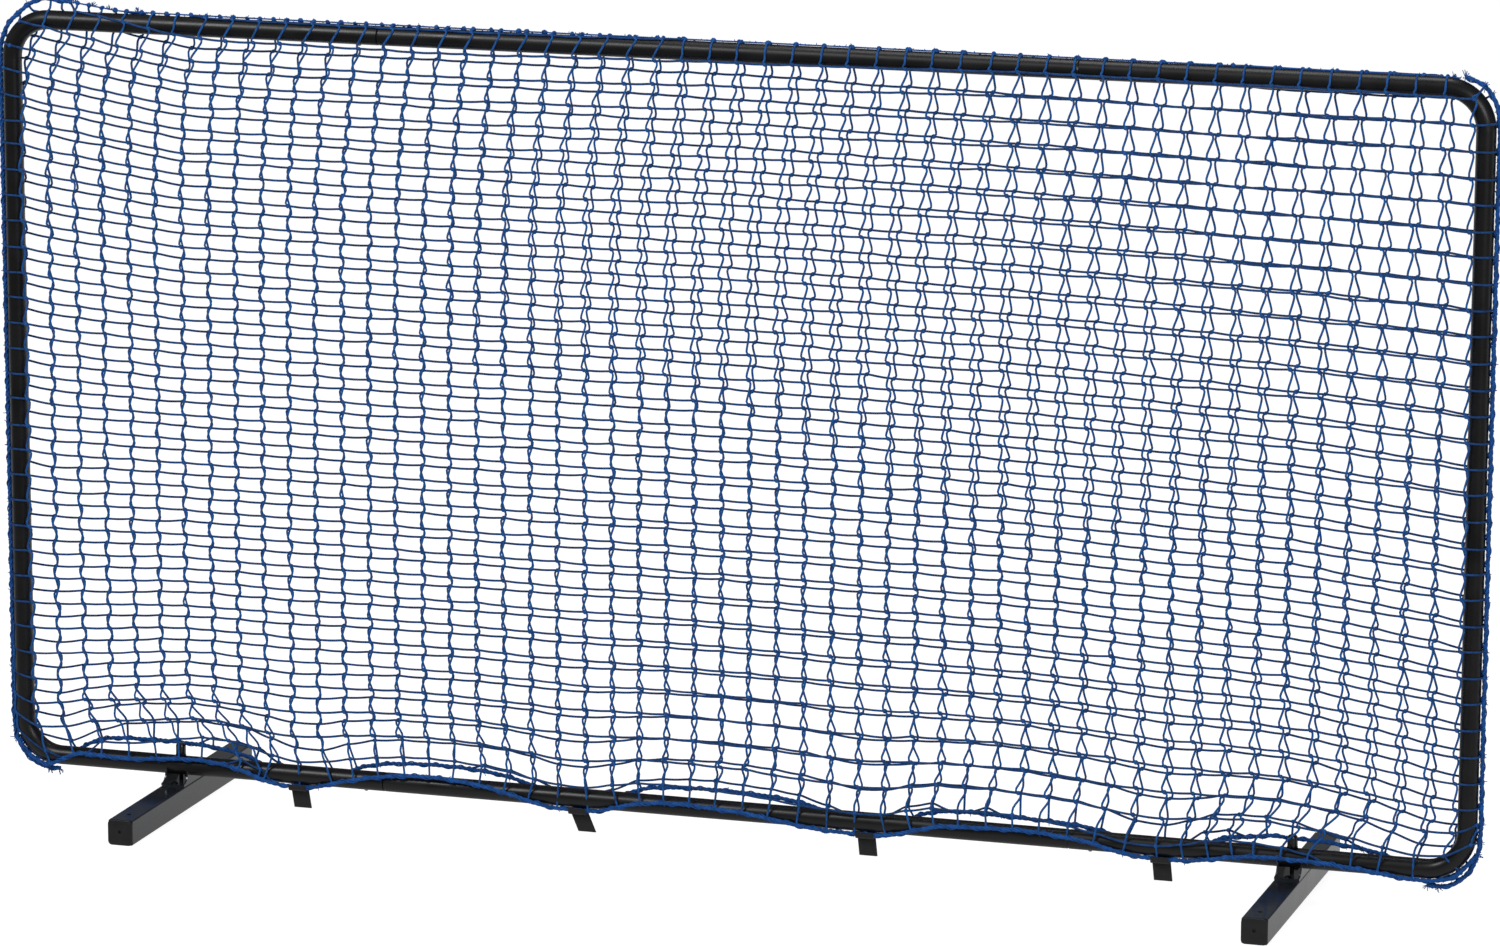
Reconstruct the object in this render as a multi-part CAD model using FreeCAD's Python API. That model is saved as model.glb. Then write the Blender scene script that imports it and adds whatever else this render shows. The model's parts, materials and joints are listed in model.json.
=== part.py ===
import FreeCAD, Part
import math
import os

# A rebound screen: a rounded tube frame in a knotted net, on two square feet.
# Millimetres. +X runs along the screen, +Y to its back, +Z up.
# The origin is on the floor, under the middle of the screen.

Vector = FreeCAD.Vector

# Frame tube, 1 1/2 inch outside
tube_od = 38.1
tube_wall = 1.5
frame_width = 2940.0  # from one post's centre to the other's
frame_height = 1490.0  # from the bottom rail's centre to the top rail's
bend_radius = 78.0  # centre line of the four corners

# Middle rails, whose reduced ends push into the bent end frames
seam_to_seam = 1400.0
spigot_length = 75.0
spigot_gap = 0.3
swage_taper = 4.0
spigot_chamfer = 1.0

# Sprung buttons that lock the four push-in joints, all facing down
button_setback = 40.0  # from the seam to the button
button_radius = 4.0
button_gap = 0.2
button_stand = 3.0  # above the tube's outside
button_dome = 2.0
stop_radius = 5.5
stop_thickness = 1.2
stop_gap = 0.15
leaf_thickness = 0.8
leaf_width = 9.0
leaf_length = 50.0
leaf_foot = 6.0  # flat length on each side of the button
leaf_gap = 0.2
leaf_bend = 8.0

# Feet: square tube along Y
foot_size = 50.8
foot_wall = 2.0
foot_corner = 4.0
foot_length = 640.0
foot_inset = 335.0  # from the post's centre line to the foot's

# Plugs in the feet's ends
cap_flange = 5.0
cap_edge = 1.5
cap_insert = 56.0
cap_skin = 2.5
cap_gap = 0.3
cap_hole_radius = 2.4
cap_rib = 2.0
rivet_setback = 48.0
rivet_radius = 2.4
rivet_head_radius = 4.5
rivet_head_height = 1.4
rivet_reach = 7.0
rivet_gap = 0.1

# Brackets between the feet and the bottom rail
saddle_gap = 14.5  # from the foot's top to the rail's lowest line
bracket_length = 92.0
bracket_inset = 0.8  # from the foot's sides
plate_thickness = 3.0
ear_thickness = 3.0
ear_drop = 5.0  # the ears end this far under the rail's centre
ear_shoulder = 5.5  # ear beside the rail, at its top
ear_toe = 2.0
seat_gap = 0.3

# Fasteners
bolt_radius = 4.0
bolt_hole_radius = 4.25
bolt_spread = 68.0  # between a bracket's two screws, along the foot
screw_head_radius = 7.0
screw_head_height = 4.2
nut_width = 13.0  # across flats
nut_height = 6.5
thread_gap = 0.05
bolt_head_radius = 8.0
bolt_head_height = 4.5
washer_radius = 10.5
washer_height = 3.0
washer_gap = 0.1
bolt_end = 4.0  # past the nut
cover_radius = 10.0
cover_skin = 2.0
cover_height = 23.0
cover_round = 6.0

# Net: a front and a back layer that lie on the tube
net_thickness = 2.5
net_gap = 0.3
net_strand = 3.0
net_columns = 21
net_rows = 11
net_corner_turn = 60.0  # degrees of a bottom corner that the net covers

# Ropes at the net's edges
side_rope_radius = 5.0
side_rope_gap = 0.6
side_rope_lead = 72.0  # where the rope leaves the post's straight, past the corner's arc
fold_cord_radius = 2.0

# Side ropes round the corners: degrees past the post, and how far outside the tube
low_left_turns = ((15, 10.7), (38.2, 16.2), (56.7, 17.8), (73.3, 14.6), (86.8, 9.1))
low_right_turns = ((14, 10.1), (37.9, 17.0), (57.4, 21.7), (74.2, 20.4), (87.9, 12.0))
high_left_turns = ((13, 9.7), (36.9, 13.0), (61.1, 14.9), (83.0, 26.9), (97.7, 22.0), (112.0, 28.1))
high_right_turns = ((14, 10.1), (38.5, 15.4), (56.9, 12.8), (69.8, 7.4))

# The fold cord, which falls on to the top rail from the left rope's end
fold_cord_run = 130.0
fold_cord_turn = 16.0  # degrees round the right corner
hem_radius = 4.5
hem_bulge = 1.2  # extra room where a straight run rounds the rail
hem_angle = 62.0  # how far under the rail a strap pulls the hem
hem_setback = 46.0  # from the post's centre line to where the hem begins
hem_grip = 28.0  # from a strap's middle to where the hem starts to rise
hem_drift = 0.15  # how much the hem leans back as it rises past the rail
hem_clearance = 2.2  # from the rope up to the net's plain edge

# The hems between straps, left to right: share of the span, height above the rail's centre
front_hem_spans = (
    ((0.04, -13.5), (0.08, -1), (0.12, 10), (0.17, 13.5), (0.26, 10), (0.38, 9.5), (0.50, 17),
     (0.62, 19), (0.72, 14), (0.79, 5), (0.85, -7), (0.90, -17)),
    ((0.10, -13), (0.16, -1.5), (0.24, 9), (0.36, 20), (0.46, 24), (0.58, 20.5), (0.68, 13),
     (0.77, 2), (0.84, -10), (0.90, -19)),
    ((0.085, -18), (0.13, -9), (0.19, 2), (0.27, 9.5), (0.375, 11.5), (0.49, 7), (0.58, 4.5),
     (0.665, -2), (0.75, -11), (0.845, -19.5)),
    ((0.085, -18.5), (0.135, -10), (0.195, 1), (0.26, 10.5), (0.355, 12), (0.47, 15), (0.59, 14.5),
     (0.67, 9), (0.745, 5.5), (0.81, -3), (0.87, -14)),
    ((0.128, -17.5), (0.22, -7.5), (0.30, 0.5), (0.39, 3.4), (0.49, 1.6), (0.58, 1.2),
     (0.67, -4), (0.75, -7.5), (0.82, -14), (0.90, -20.5)),
)
back_hem_spans = (
    ((0.04, -14), (0.075, -3), (0.11, 9), (0.15, 22), (0.19, 33), (0.25, 39.5), (0.36, 41.5),
     (0.48, 42), (0.60, 39), (0.70, 33), (0.77, 24), (0.82, 13), (0.865, 1), (0.905, -12)),
    ((0.09, -14.5), (0.125, -3), (0.165, 9), (0.215, 21), (0.29, 31), (0.39, 36), (0.50, 37.5),
     (0.61, 35), (0.71, 28.5), (0.785, 18), (0.84, 6), (0.88, -5), (0.915, -15)),
    ((0.088, -14.5), (0.12, -3), (0.15, 9), (0.195, 20.5), (0.255, 28.5), (0.36, 32.5), (0.47, 33.8),
     (0.58, 32), (0.69, 28), (0.78, 20), (0.84, 9), (0.88, -3), (0.915, -14)),
    ((0.085, -14.5), (0.115, -3), (0.145, 9), (0.18, 19), (0.23, 26.5), (0.30, 31), (0.39, 30.2),
     (0.49, 28), (0.58, 26.5), (0.68, 24), (0.765, 18), (0.83, 8.5), (0.875, -3), (0.915, -14)),
    ((0.095, -14.5), (0.13, -3), (0.16, 8), (0.20, 19), (0.25, 26), (0.30, 26.5), (0.34, 31),
     (0.385, 34.5), (0.44, 32.5), (0.50, 31), (0.56, 31.2), (0.63, 26.5), (0.70, 23), (0.77, 16),
     (0.83, 6.5), (0.88, -4), (0.935, -14)),
)

# Straps that hold the two hems together under the rail
strap_count = 4
strap_pitch = 587.0
strap_width = 36.0
strap_thickness = 2.0
strap_gap = 0.4
strap_arm = 7.0
strap_shoulder = 3.0
strap_tail = 38.0

# Places that follow from the sizes above
tube_radius = tube_od / 2
bore_radius = tube_radius - tube_wall
spigot_radius = bore_radius - spigot_gap
spigot_bore = spigot_radius - tube_wall
seam_x = seam_to_seam / 2
post_x = frame_width / 2
foot_offset = post_x - foot_inset
hem_start = post_x - hem_setback
low_z = foot_size + saddle_gap + tube_radius
high_z = low_z + frame_height
button_x = seam_x + button_setback
hem_reach = tube_radius + net_gap + hem_radius + hem_bulge
hem_low = -hem_reach * math.sin(math.radians(hem_angle))
strap_places = [(i - (strap_count - 1) / 2) * strap_pitch for i in range(strap_count)]


def rod(radius, start, end):
    """A straight round bar between two points."""
    along = end - start
    return Part.makeCylinder(radius, along.Length, start, along)


def route(points, radius=None):
    """Straight runs joined by tangent arcs: of the given radius, or as large as the runs allow."""
    edges = []
    last = points[0]
    for before, corner, after in zip(points, points[1:], points[2:]):
        back = before - corner
        on = after - corner
        half_turn = (math.pi - back.getAngle(on)) / 2
        if radius is None:
            tangent = 0.45 * min(back.Length, on.Length)
            bend = tangent / math.tan(half_turn)
        else:
            bend = radius
            tangent = bend * math.tan(half_turn)
        back.normalize()
        on.normalize()
        inward = back + on
        inward.normalize()
        start = corner + back * tangent
        middle = corner + inward * (bend / math.cos(half_turn) - bend)
        end = corner + on * tangent
        if (start - last).Length > 1e-6:
            edges.append(Part.LineSegment(last, start).toShape())
        edges.append(Part.Arc(start, middle, end).toShape())
        last = end
    if (points[-1] - last).Length > 1e-6:
        edges.append(Part.LineSegment(last, points[-1]).toShape())
    return Part.Wire(edges)


def pipe(path, radius):
    """A round bar along a smooth path."""
    first = path.OrderedEdges[0]
    start = first.valueAt(first.FirstParameter)
    toward = first.tangentAt(first.FirstParameter)
    ring = Part.Wire([Part.Circle(start, toward, radius).toShape()])
    return path.makePipeShell([ring], True, False)


def rope(name, path, radius):
    """A rope's solid, with a printed test of its volume against section times length."""
    solid = pipe(path, radius)
    expected = math.pi * radius**2 * path.Length
    bends = [edge.Curve.Radius for edge in path.Edges if isinstance(edge.Curve, Part.Circle)]
    print(f"{name}: {path.Length:.0f} mm long, volume {solid.Volume / expected:.4f} of section times length")
    print(f"{name}: bends of {min(bends):.0f} to {max(bends):.0f} mm radius")
    return solid


def rounded_square(size, corner, y):
    """A square outline with round corners, square to Y, its lower side on the floor plane of the foot."""
    half = size / 2
    flat = half - corner
    mid = corner * math.sin(math.radians(45))
    edges = []
    for quarter in range(4):
        turn = FreeCAD.Rotation(Vector(0, 1, 0), 90 * quarter)
        line_start = turn.multVec(Vector(-flat, 0, half))
        line_end = turn.multVec(Vector(flat, 0, half))
        arc_mid = turn.multVec(Vector(flat + mid, 0, flat + mid))
        arc_end = turn.multVec(Vector(half, 0, flat))
        edges.append(Part.LineSegment(line_start, line_end).toShape())
        edges.append(Part.Arc(line_end, arc_mid, arc_end).toShape())
    outline = Part.Wire(edges)
    outline.translate(Vector(0, y, foot_size / 2))
    return Part.Face(outline)


def ribbon(points, thickness):
    """The outline of a strip bent along points that lie in one plane, as a face."""
    flat = Vector(0, 0, 0)
    for a, b, c in zip(points, points[1:], points[2:]):
        flat = flat + (b - a).cross(c - b)
    flat.normalize()
    sides = ([], [])
    for i, point in enumerate(points):
        before = points[max(i, 1)] - points[max(i, 1) - 1]
        after = points[min(i + 1, len(points) - 1)] - points[min(i, len(points) - 2)]
        before.normalize()
        after.normalize()
        along = before + after
        along.normalize()
        across = flat.cross(along)
        reach = thickness / 2 / across.dot(flat.cross(before))
        sides[0].append(point + across * reach)
        sides[1].append(point - across * reach)
    return Part.Face(Part.makePolygon(sides[0] + sides[1][::-1] + sides[0][:1]))


def hexagon(width, height, centre):
    """A hexagonal block, its lower face centred on a point."""
    corner = width / 2 / math.cos(math.radians(30))
    corners = [
        centre + Vector(corner * math.cos(math.radians(60 * i)), corner * math.sin(math.radians(60 * i)), 0)
        for i in range(7)
    ]
    return Part.Face(Part.makePolygon(corners)).extrude(Vector(0, 0, height))


def spun(profile, centre):
    """A solid turned about the vertical line through a point, from a wire in the XZ plane."""
    solid = Part.Face(profile).revolve(Vector(0, 0, 0), Vector(0, 0, 1), 360)
    solid.translate(centre)
    return solid


def mirrored(shape):
    """The same shape on the other side of the screen's middle."""
    return shape.mirror(Vector(0, 0, 0), Vector(1, 0, 0))


def button_hole(x, z):
    """The cutter for one button's hole, through the lower wall only."""
    return rod(button_radius + button_gap, Vector(x, 0, z), Vector(x, 0, z - tube_od))


def end_frame():
    """The right-hand bent tube: an upper arm, a post and a lower arm."""
    corners = [
        Vector(seam_x, 0, high_z),
        Vector(post_x, 0, high_z),
        Vector(post_x, 0, low_z),
        Vector(seam_x, 0, low_z),
    ]
    path = route(corners, bend_radius)
    tube = pipe(path, tube_radius).cut(pipe(path, bore_radius))
    for z in (low_z, high_z):
        tube = tube.cut(button_hole(button_x, z))
    bolt_line = Vector(foot_offset, 0, low_z)
    up = Vector(0, 0, tube_od)
    return tube.cut(rod(bolt_hole_radius, bolt_line - up, bolt_line + up))


def middle_rail(z):
    """A straight tube whose two ends are drawn down to fit inside the end frames."""
    tip = seam_x + spigot_length
    half = [
        (seam_x - swage_taper, tube_radius),
        (seam_x, spigot_radius),
        (tip - spigot_chamfer, spigot_radius),
        (tip, spigot_radius - spigot_chamfer / 2),
        (tip, spigot_bore),
        (seam_x, spigot_bore),
        (seam_x - swage_taper, bore_radius),
    ]
    outline = half + [(-x, r) for x, r in reversed(half)]
    points = [Vector(x, 0, r) for x, r in outline + outline[:1]]
    rail = Part.Face(Part.makePolygon(points)).revolve(Vector(0, 0, 0), Vector(1, 0, 0), 360)
    rail.translate(Vector(0, 0, z))
    for x in (-button_x, button_x):
        rail = rail.cut(button_hole(x, z))
    return rail


def snap_button(x, z):
    """A domed button on a flat stop, which the spring pushes against the spigot's wall."""
    seat = math.sqrt(spigot_bore**2 - stop_radius**2) - stop_gap
    tip = tube_radius + button_stand
    start = Vector(0, 0, -(seat - stop_thickness))
    corners = [
        start,
        Vector(stop_radius, 0, start.z),
        Vector(stop_radius, 0, -seat),
        Vector(button_radius, 0, -seat),
        Vector(button_radius, 0, -(tip - button_dome)),
    ]
    edges = [Part.LineSegment(a, b).toShape() for a, b in zip(corners, corners[1:])]
    ball = (button_radius**2 + button_dome**2) / (2 * button_dome)
    lean = math.asin(button_radius / ball) / 2
    bulge = Vector(ball * math.sin(lean), 0, -(tip - ball) - ball * math.cos(lean))
    edges.append(Part.Arc(corners[-1], bulge, Vector(0, 0, -tip)).toShape())
    edges.append(Part.LineSegment(Vector(0, 0, -tip), start).toShape())
    return spun(Part.Wire(edges), Vector(x, 0, z))


def leaf_spring(x, z):
    """The V-shaped leaf inside a right-hand spigot: one leg behind the button, one on the far wall."""
    seat = math.sqrt(spigot_bore**2 - stop_radius**2) - stop_gap - stop_thickness
    lower = -(seat - leaf_gap - leaf_thickness / 2)
    upper = math.sqrt(spigot_bore**2 - (leaf_width / 2) ** 2) - leaf_gap - leaf_thickness / 2
    turn = -leaf_length
    points = [
        Vector(leaf_foot, 0, lower),
        Vector(-leaf_foot, 0, lower),
        Vector(turn + leaf_bend, 0, upper - leaf_bend),
        Vector(turn, 0, upper - leaf_bend / 2),
        Vector(turn + leaf_bend / 2, 0, upper),
        Vector(leaf_foot, 0, upper),
    ]
    leaf = ribbon(points, leaf_thickness).extrude(Vector(0, leaf_width, 0))
    leaf.translate(Vector(x, -leaf_width / 2, z))
    return leaf


def foot():
    """The right-hand foot's square tube, with its holes for the bolts and rivets."""
    length = foot_length - 2 * cap_flange
    outer = rounded_square(foot_size, foot_corner, -length / 2).extrude(Vector(0, length, 0))
    inner_corner = foot_corner - foot_wall
    inner = rounded_square(foot_size - 2 * foot_wall, inner_corner, -length / 2).extrude(Vector(0, length, 0))
    tube = outer.cut(inner)
    inside = foot_size - 2 * foot_wall
    for y in (-bolt_spread / 2, 0, bolt_spread / 2):
        tube = tube.cut(rod(bolt_hole_radius, Vector(0, y, inside), Vector(0, y, foot_size + foot_wall)))
    for cutter in rivets(rivet_radius + rivet_gap):
        tube = tube.cut(cutter)
    tube.translate(Vector(foot_offset, 0, 0))
    return tube


def rivet_lines():
    """Where a foot's two rivets enter: the front one in the top, the rear one in the right side."""
    place = foot_length / 2 - rivet_setback
    middle = foot_size / 2
    return [
        (Vector(0, -place, foot_size), Vector(0, 0, -1)),
        (Vector(middle, place, middle), Vector(-1, 0, 0)),
    ]


def rivets(radius, head=False):
    """A foot's two rivet shanks, or whole rivets with their domed heads, about the foot's own centre line."""
    made = []
    for entry, inward in rivet_lines():
        shank = rod(radius, entry - inward * (0 if head else foot_wall), entry + inward * rivet_reach)
        if head:
            dome_radius = (rivet_head_radius**2 + rivet_head_height**2) / (2 * rivet_head_height)
            ball = Part.makeSphere(dome_radius, entry + inward * (dome_radius - rivet_head_height))
            outside = rod(rivet_head_radius, entry, entry - inward * rivet_head_height * 2)
            shank = shank.fuse(ball.common(outside)).removeSplitter()
        made.append(shank)
    return made


def foot_cap(facing):
    """One end plug about the foot's own centre line: a rounded flange and a ribbed hollow insert."""
    end = foot_length / 2
    flange = rounded_square(foot_size, foot_corner, 0).extrude(Vector(0, cap_flange, 0))
    front_edges = [e for e in flange.Edges if all(abs(v.Y) < 1e-6 for v in e.Vertexes)]
    flange = flange.makeFillet(cap_edge, front_edges)
    insert_size = foot_size - 2 * foot_wall - 2 * cap_gap
    insert_corner = foot_corner - foot_wall
    insert = rounded_square(insert_size, insert_corner, cap_flange).extrude(Vector(0, cap_insert, 0))
    cavity_size = insert_size - 2 * cap_skin
    cavity = rounded_square(cavity_size, insert_corner / 2, cap_flange).extrude(Vector(0, cap_insert, 0))
    half = foot_size / 2
    rib_length = cap_insert - cap_flange
    upright = Part.makeBox(cap_rib, rib_length, cavity_size)
    upright.translate(Vector(half / 3, cap_flange, half - cavity_size / 2))
    ribs = upright.fuse(mirrored(upright))
    plug = flange.fuse(insert.cut(cavity)).fuse(ribs).removeSplitter()
    plug = plug.cut(rod(cap_hole_radius, Vector(0, -1, half), Vector(0, cap_flange + 1, half)))
    plug.translate(Vector(0, -end, 0))
    if facing > 0:
        plug = plug.mirror(Vector(0, 0, 0), Vector(0, 1, 0))
    for cutter in rivets(rivet_radius + rivet_gap):
        plug = plug.cut(cutter)
    return plug


def bracket():
    """The right-hand bracket: a plate on the foot and two ears, notched to take the rail."""
    half_length = bracket_length / 2
    width = foot_size - 2 * bracket_inset
    base = foot_size + plate_thickness
    plate = Part.makeBox(width, bracket_length, plate_thickness)
    plate.translate(Vector(-width / 2, -half_length, foot_size))
    for y in (-bolt_spread / 2, 0, bolt_spread / 2):
        plate = plate.cut(rod(bolt_hole_radius, Vector(0, y, foot_size - 1), Vector(0, y, base + 1)))
    ear_top = low_z - ear_drop
    shoulder = tube_radius + ear_shoulder
    knee = Vector(0, shoulder + (half_length - shoulder) * 0.3, base + (ear_top - base) * 0.28)
    toe = Vector(0, half_length, base + ear_toe)
    heel = Vector(0, half_length, base)
    top = Vector(0, shoulder, ear_top)
    other = [Vector(0, -p.y, p.z) for p in (top, knee, toe, heel)]
    edges = [
        Part.LineSegment(other[3], heel).toShape(),
        Part.LineSegment(heel, toe).toShape(),
        Part.Arc(toe, knee, top).toShape(),
        Part.LineSegment(top, other[0]).toShape(),
        Part.Arc(other[0], other[1], other[2]).toShape(),
        Part.LineSegment(other[2], other[3]).toShape(),
    ]
    ear = Part.Face(Part.Wire(edges)).extrude(Vector(ear_thickness, 0, 0))
    ear.translate(Vector(width / 2 - ear_thickness, 0, 0))
    seat = rod(tube_radius + seat_gap, Vector(-width, 0, low_z), Vector(width, 0, low_z))
    shape = plate.fuse(ear.cut(seat)).fuse(mirrored(ear.cut(seat))).removeSplitter()
    shape.translate(Vector(foot_offset, 0, 0))
    return shape


def bracket_screws(x):
    """The two round-headed screws that hold a bracket's plate to its foot."""
    seat = foot_size + plate_thickness
    under = foot_size - foot_wall - nut_height
    made = []
    for y in (-bolt_spread / 2, bolt_spread / 2):
        dome_radius = (screw_head_radius**2 + screw_head_height**2) / (2 * screw_head_height)
        ball = Part.makeSphere(dome_radius, Vector(x, y, seat + screw_head_height - dome_radius))
        limit = rod(screw_head_radius, Vector(x, y, seat), Vector(x, y, seat + 2 * screw_head_height))
        shank = rod(bolt_radius, Vector(x, y, under), Vector(x, y, seat))
        made.append(shank.fuse(ball.common(limit)).removeSplitter())
    return made


def nut(x, y, z):
    """A hexagon nut whose lower face is at the given height."""
    block = hexagon(nut_width, nut_height, Vector(x, y, z))
    return block.cut(rod(bolt_radius + thread_gap, Vector(x, y, z - 1), Vector(x, y, z + nut_height + 1)))


def rail_bolt(x):
    """The long bolt from inside a foot up through the bracket and the rail."""
    under = foot_size - foot_wall
    top = low_z + tube_radius + washer_height + nut_height + bolt_end
    head = rod(bolt_head_radius, Vector(x, 0, under - bolt_head_height), Vector(x, 0, under))
    return head.fuse(rod(bolt_radius, Vector(x, 0, under), Vector(x, 0, top))).removeSplitter()


def saddle_washer(x):
    """A washer whose underside is hollowed to sit on the rail."""
    top = low_z + tube_radius + washer_height
    block = rod(washer_radius, Vector(x, 0, low_z + tube_radius / 2), Vector(x, 0, top))
    reach = Vector(washer_radius * 2, 0, 0)
    centre = Vector(x, 0, low_z)
    block = block.cut(rod(tube_radius + washer_gap, centre - reach, centre + reach))
    return block.cut(rod(bolt_hole_radius, centre, Vector(x, 0, top + 1)))


def nut_cover(x):
    """A domed plastic cover over a rail bolt's nut and thread."""
    base = low_z + tube_radius + washer_height
    inner = cover_radius - cover_skin
    roof = nut_height + bolt_end + cover_skin
    side = cover_height - cover_round
    lean = cover_round * math.sin(math.radians(45))
    edges = [
        Part.LineSegment(Vector(inner, 0, 0), Vector(cover_radius, 0, 0)).toShape(),
        Part.LineSegment(Vector(cover_radius, 0, 0), Vector(cover_radius, 0, side)).toShape(),
        Part.Arc(
            Vector(cover_radius, 0, side),
            Vector(cover_radius - cover_round + lean, 0, side + lean),
            Vector(cover_radius - cover_round, 0, cover_height),
        ).toShape(),
        Part.LineSegment(Vector(cover_radius - cover_round, 0, cover_height), Vector(0, 0, cover_height)).toShape(),
        Part.LineSegment(Vector(0, 0, cover_height), Vector(0, 0, roof)).toShape(),
        Part.LineSegment(Vector(0, 0, roof), Vector(inner, 0, roof)).toShape(),
        Part.LineSegment(Vector(inner, 0, roof), Vector(inner, 0, 0)).toShape(),
    ]
    return spun(Part.Wire(edges), Vector(x, 0, base))


def hem_heights(spans):
    """Places along a hem, left to right, as pairs of x and height above the bottom rail's centre."""
    stops = [-hem_start] + strap_places + [hem_start]
    places = [(-hem_start, hem_low)]
    for left, right, span in zip(stops, stops[1:], spans):
        if left in strap_places:
            places.append((left + hem_grip, hem_low))
        places += [(left + share * (right - left), height) for share, height in span]
        if right in strap_places:
            places.append((right - hem_grip, hem_low))
    places.append((hem_start, hem_low))
    return places


def hem_path(places, side):
    """A hem's centre line, which keeps clear of the rail and leans back above it. Side is -1 in front."""
    points = []
    for x, z in places:
        out = math.sqrt(hem_reach**2 - z**2) if z < 0 else hem_reach - hem_drift * z
        points.append(Vector(x, side * out, low_z + z))
    return route(points)


def corner_point(side, level, degrees, out):
    """A point outside a corner. Side is -1 left, level -1 low; degrees run from the post to the rail."""
    centre_x = side * (post_x - bend_radius)
    centre_z = high_z - bend_radius if level > 0 else low_z + bend_radius
    reach = bend_radius + tube_radius + out
    turn = math.radians(degrees)
    return Vector(centre_x + side * reach * math.cos(turn), 0, centre_z + level * reach * math.sin(turn))


def edge_rope(side, low_turns, high_turns):
    """The rope down the net's side fold, which stands off the tube at the corners."""
    fold_x = side * (post_x + tube_radius + side_rope_gap + side_rope_radius)
    points = [corner_point(side, -1, *turn) for turn in reversed(low_turns)]
    points.append(Vector(fold_x, 0, low_z + bend_radius + side_rope_lead))
    points.append(Vector(fold_x, 0, high_z - bend_radius - side_rope_lead))
    points += [corner_point(side, 1, *turn) for turn in high_turns]
    return route(points)


def fold_cord():
    """The cord along the net's top fold, which falls from the left corner's rope on to the rail."""
    rest = tube_radius + net_gap + fold_cord_radius
    points = [corner_point(-1, 1, *high_left_turns[-1]) + Vector(side_rope_gap, 0, 0)]
    lift = points[0].z - high_z - rest
    for share in (0.30, 0.64):
        fall = lift * (1 - share) ** 1.15
        points.append(Vector(points[0].x + share * fold_cord_run, 0, high_z + rest + fall))
    points.append(Vector(points[0].x + fold_cord_run, 0, high_z + rest))
    points.append(corner_point(1, 1, 90 - fold_cord_turn / 2, net_gap + fold_cord_radius + 1.0))
    points[-1].z = high_z + rest
    points.append(corner_point(1, 1, 90 - fold_cord_turn, net_gap + fold_cord_radius))
    return route(points)


def net_outline(places, inset=0.0):
    """The net layer's outer wire: three straight sides, round corners, and a lower edge above the hem."""
    reach = bend_radius + tube_radius - inset
    arc_x = post_x - bend_radius
    side = arc_x + reach
    arc_low = low_z + bend_radius
    arc_high = high_z - bend_radius
    lift = low_z + hem_radius + hem_clearance + inset * 1.2
    turn = math.radians(net_corner_turn)

    def around(sign, level, angle):
        centre = arc_high if level > 0 else arc_low
        return Vector(sign * (arc_x + reach * math.cos(angle)), 0, centre + level * reach * math.sin(angle))

    def line(a, b):
        return Part.LineSegment(a, b).toShape()

    def arc(sign, level, first, last):
        middle = around(sign, level, (first + last) / 2)
        return Part.Arc(around(sign, level, first), middle, around(sign, level, last)).toShape()

    limit = arc_x + reach * math.cos(turn)
    lower = [Vector(x, 0, lift + z) for x, z in places if abs(x) < limit]
    run = [around(-1, -1, turn)] + lower + [around(1, -1, turn)]
    quarter = math.pi / 2
    edges = [line(a, b) for a, b in zip(run, run[1:])]
    edges.append(arc(1, -1, turn, 0))
    edges.append(line(Vector(side, 0, arc_low), Vector(side, 0, arc_high)))
    edges.append(arc(1, 1, 0, quarter))
    edges.append(line(around(1, 1, quarter), around(-1, 1, quarter)))
    edges.append(arc(-1, 1, quarter, 0))
    edges.append(line(Vector(-side, 0, arc_high), Vector(-side, 0, arc_low)))
    edges.append(arc(-1, -1, 0, turn))
    return Part.Wire(edges)


def net_gaps(places):
    """The net layer's openings: a grid of cells, cut along the rounded corners and the hem."""
    border = Part.Face(net_outline(places, net_strand))
    box = border.BoundBox
    crest = low_z + max(z for _, z in places) + hem_radius + hem_clearance + net_strand
    step_x = (box.XLength + net_strand) / net_columns
    step_z = (box.ZMax - crest + net_strand) / net_rows
    arc_x = post_x - bend_radius
    gaps = []
    for row in range(net_rows):
        z0 = crest + row * step_z
        z1 = z0 + step_z - net_strand
        for column in range(net_columns):
            x0 = box.XMin + column * step_x
            x1 = x0 + step_x - net_strand
            foot_z = box.ZMin - 1 if row == 0 else z0
            corners = [Vector(x0, 0, foot_z), Vector(x1, 0, foot_z), Vector(x1, 0, z1), Vector(x0, 0, z1)]
            cell = Part.Face(Part.makePolygon(corners + corners[:1]))
            in_corner = max(abs(x0), abs(x1)) > arc_x and z1 > high_z - bend_radius
            if row == 0 or in_corner:
                cell = cell.common(border)
            gaps += [face.OuterWire for face in cell.Faces]
    return gaps


def net_layer(places, side):
    """One layer of the net as a plate with its openings. Side is -1 in front."""
    face = Part.makeFace([net_outline(places)] + net_gaps(places), "Part::FaceMakerBullseye")
    layer = face.extrude(Vector(0, net_thickness, 0))
    near = tube_radius + net_gap
    layer.translate(Vector(0, near if side > 0 else -near - net_thickness, 0))
    return layer


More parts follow.
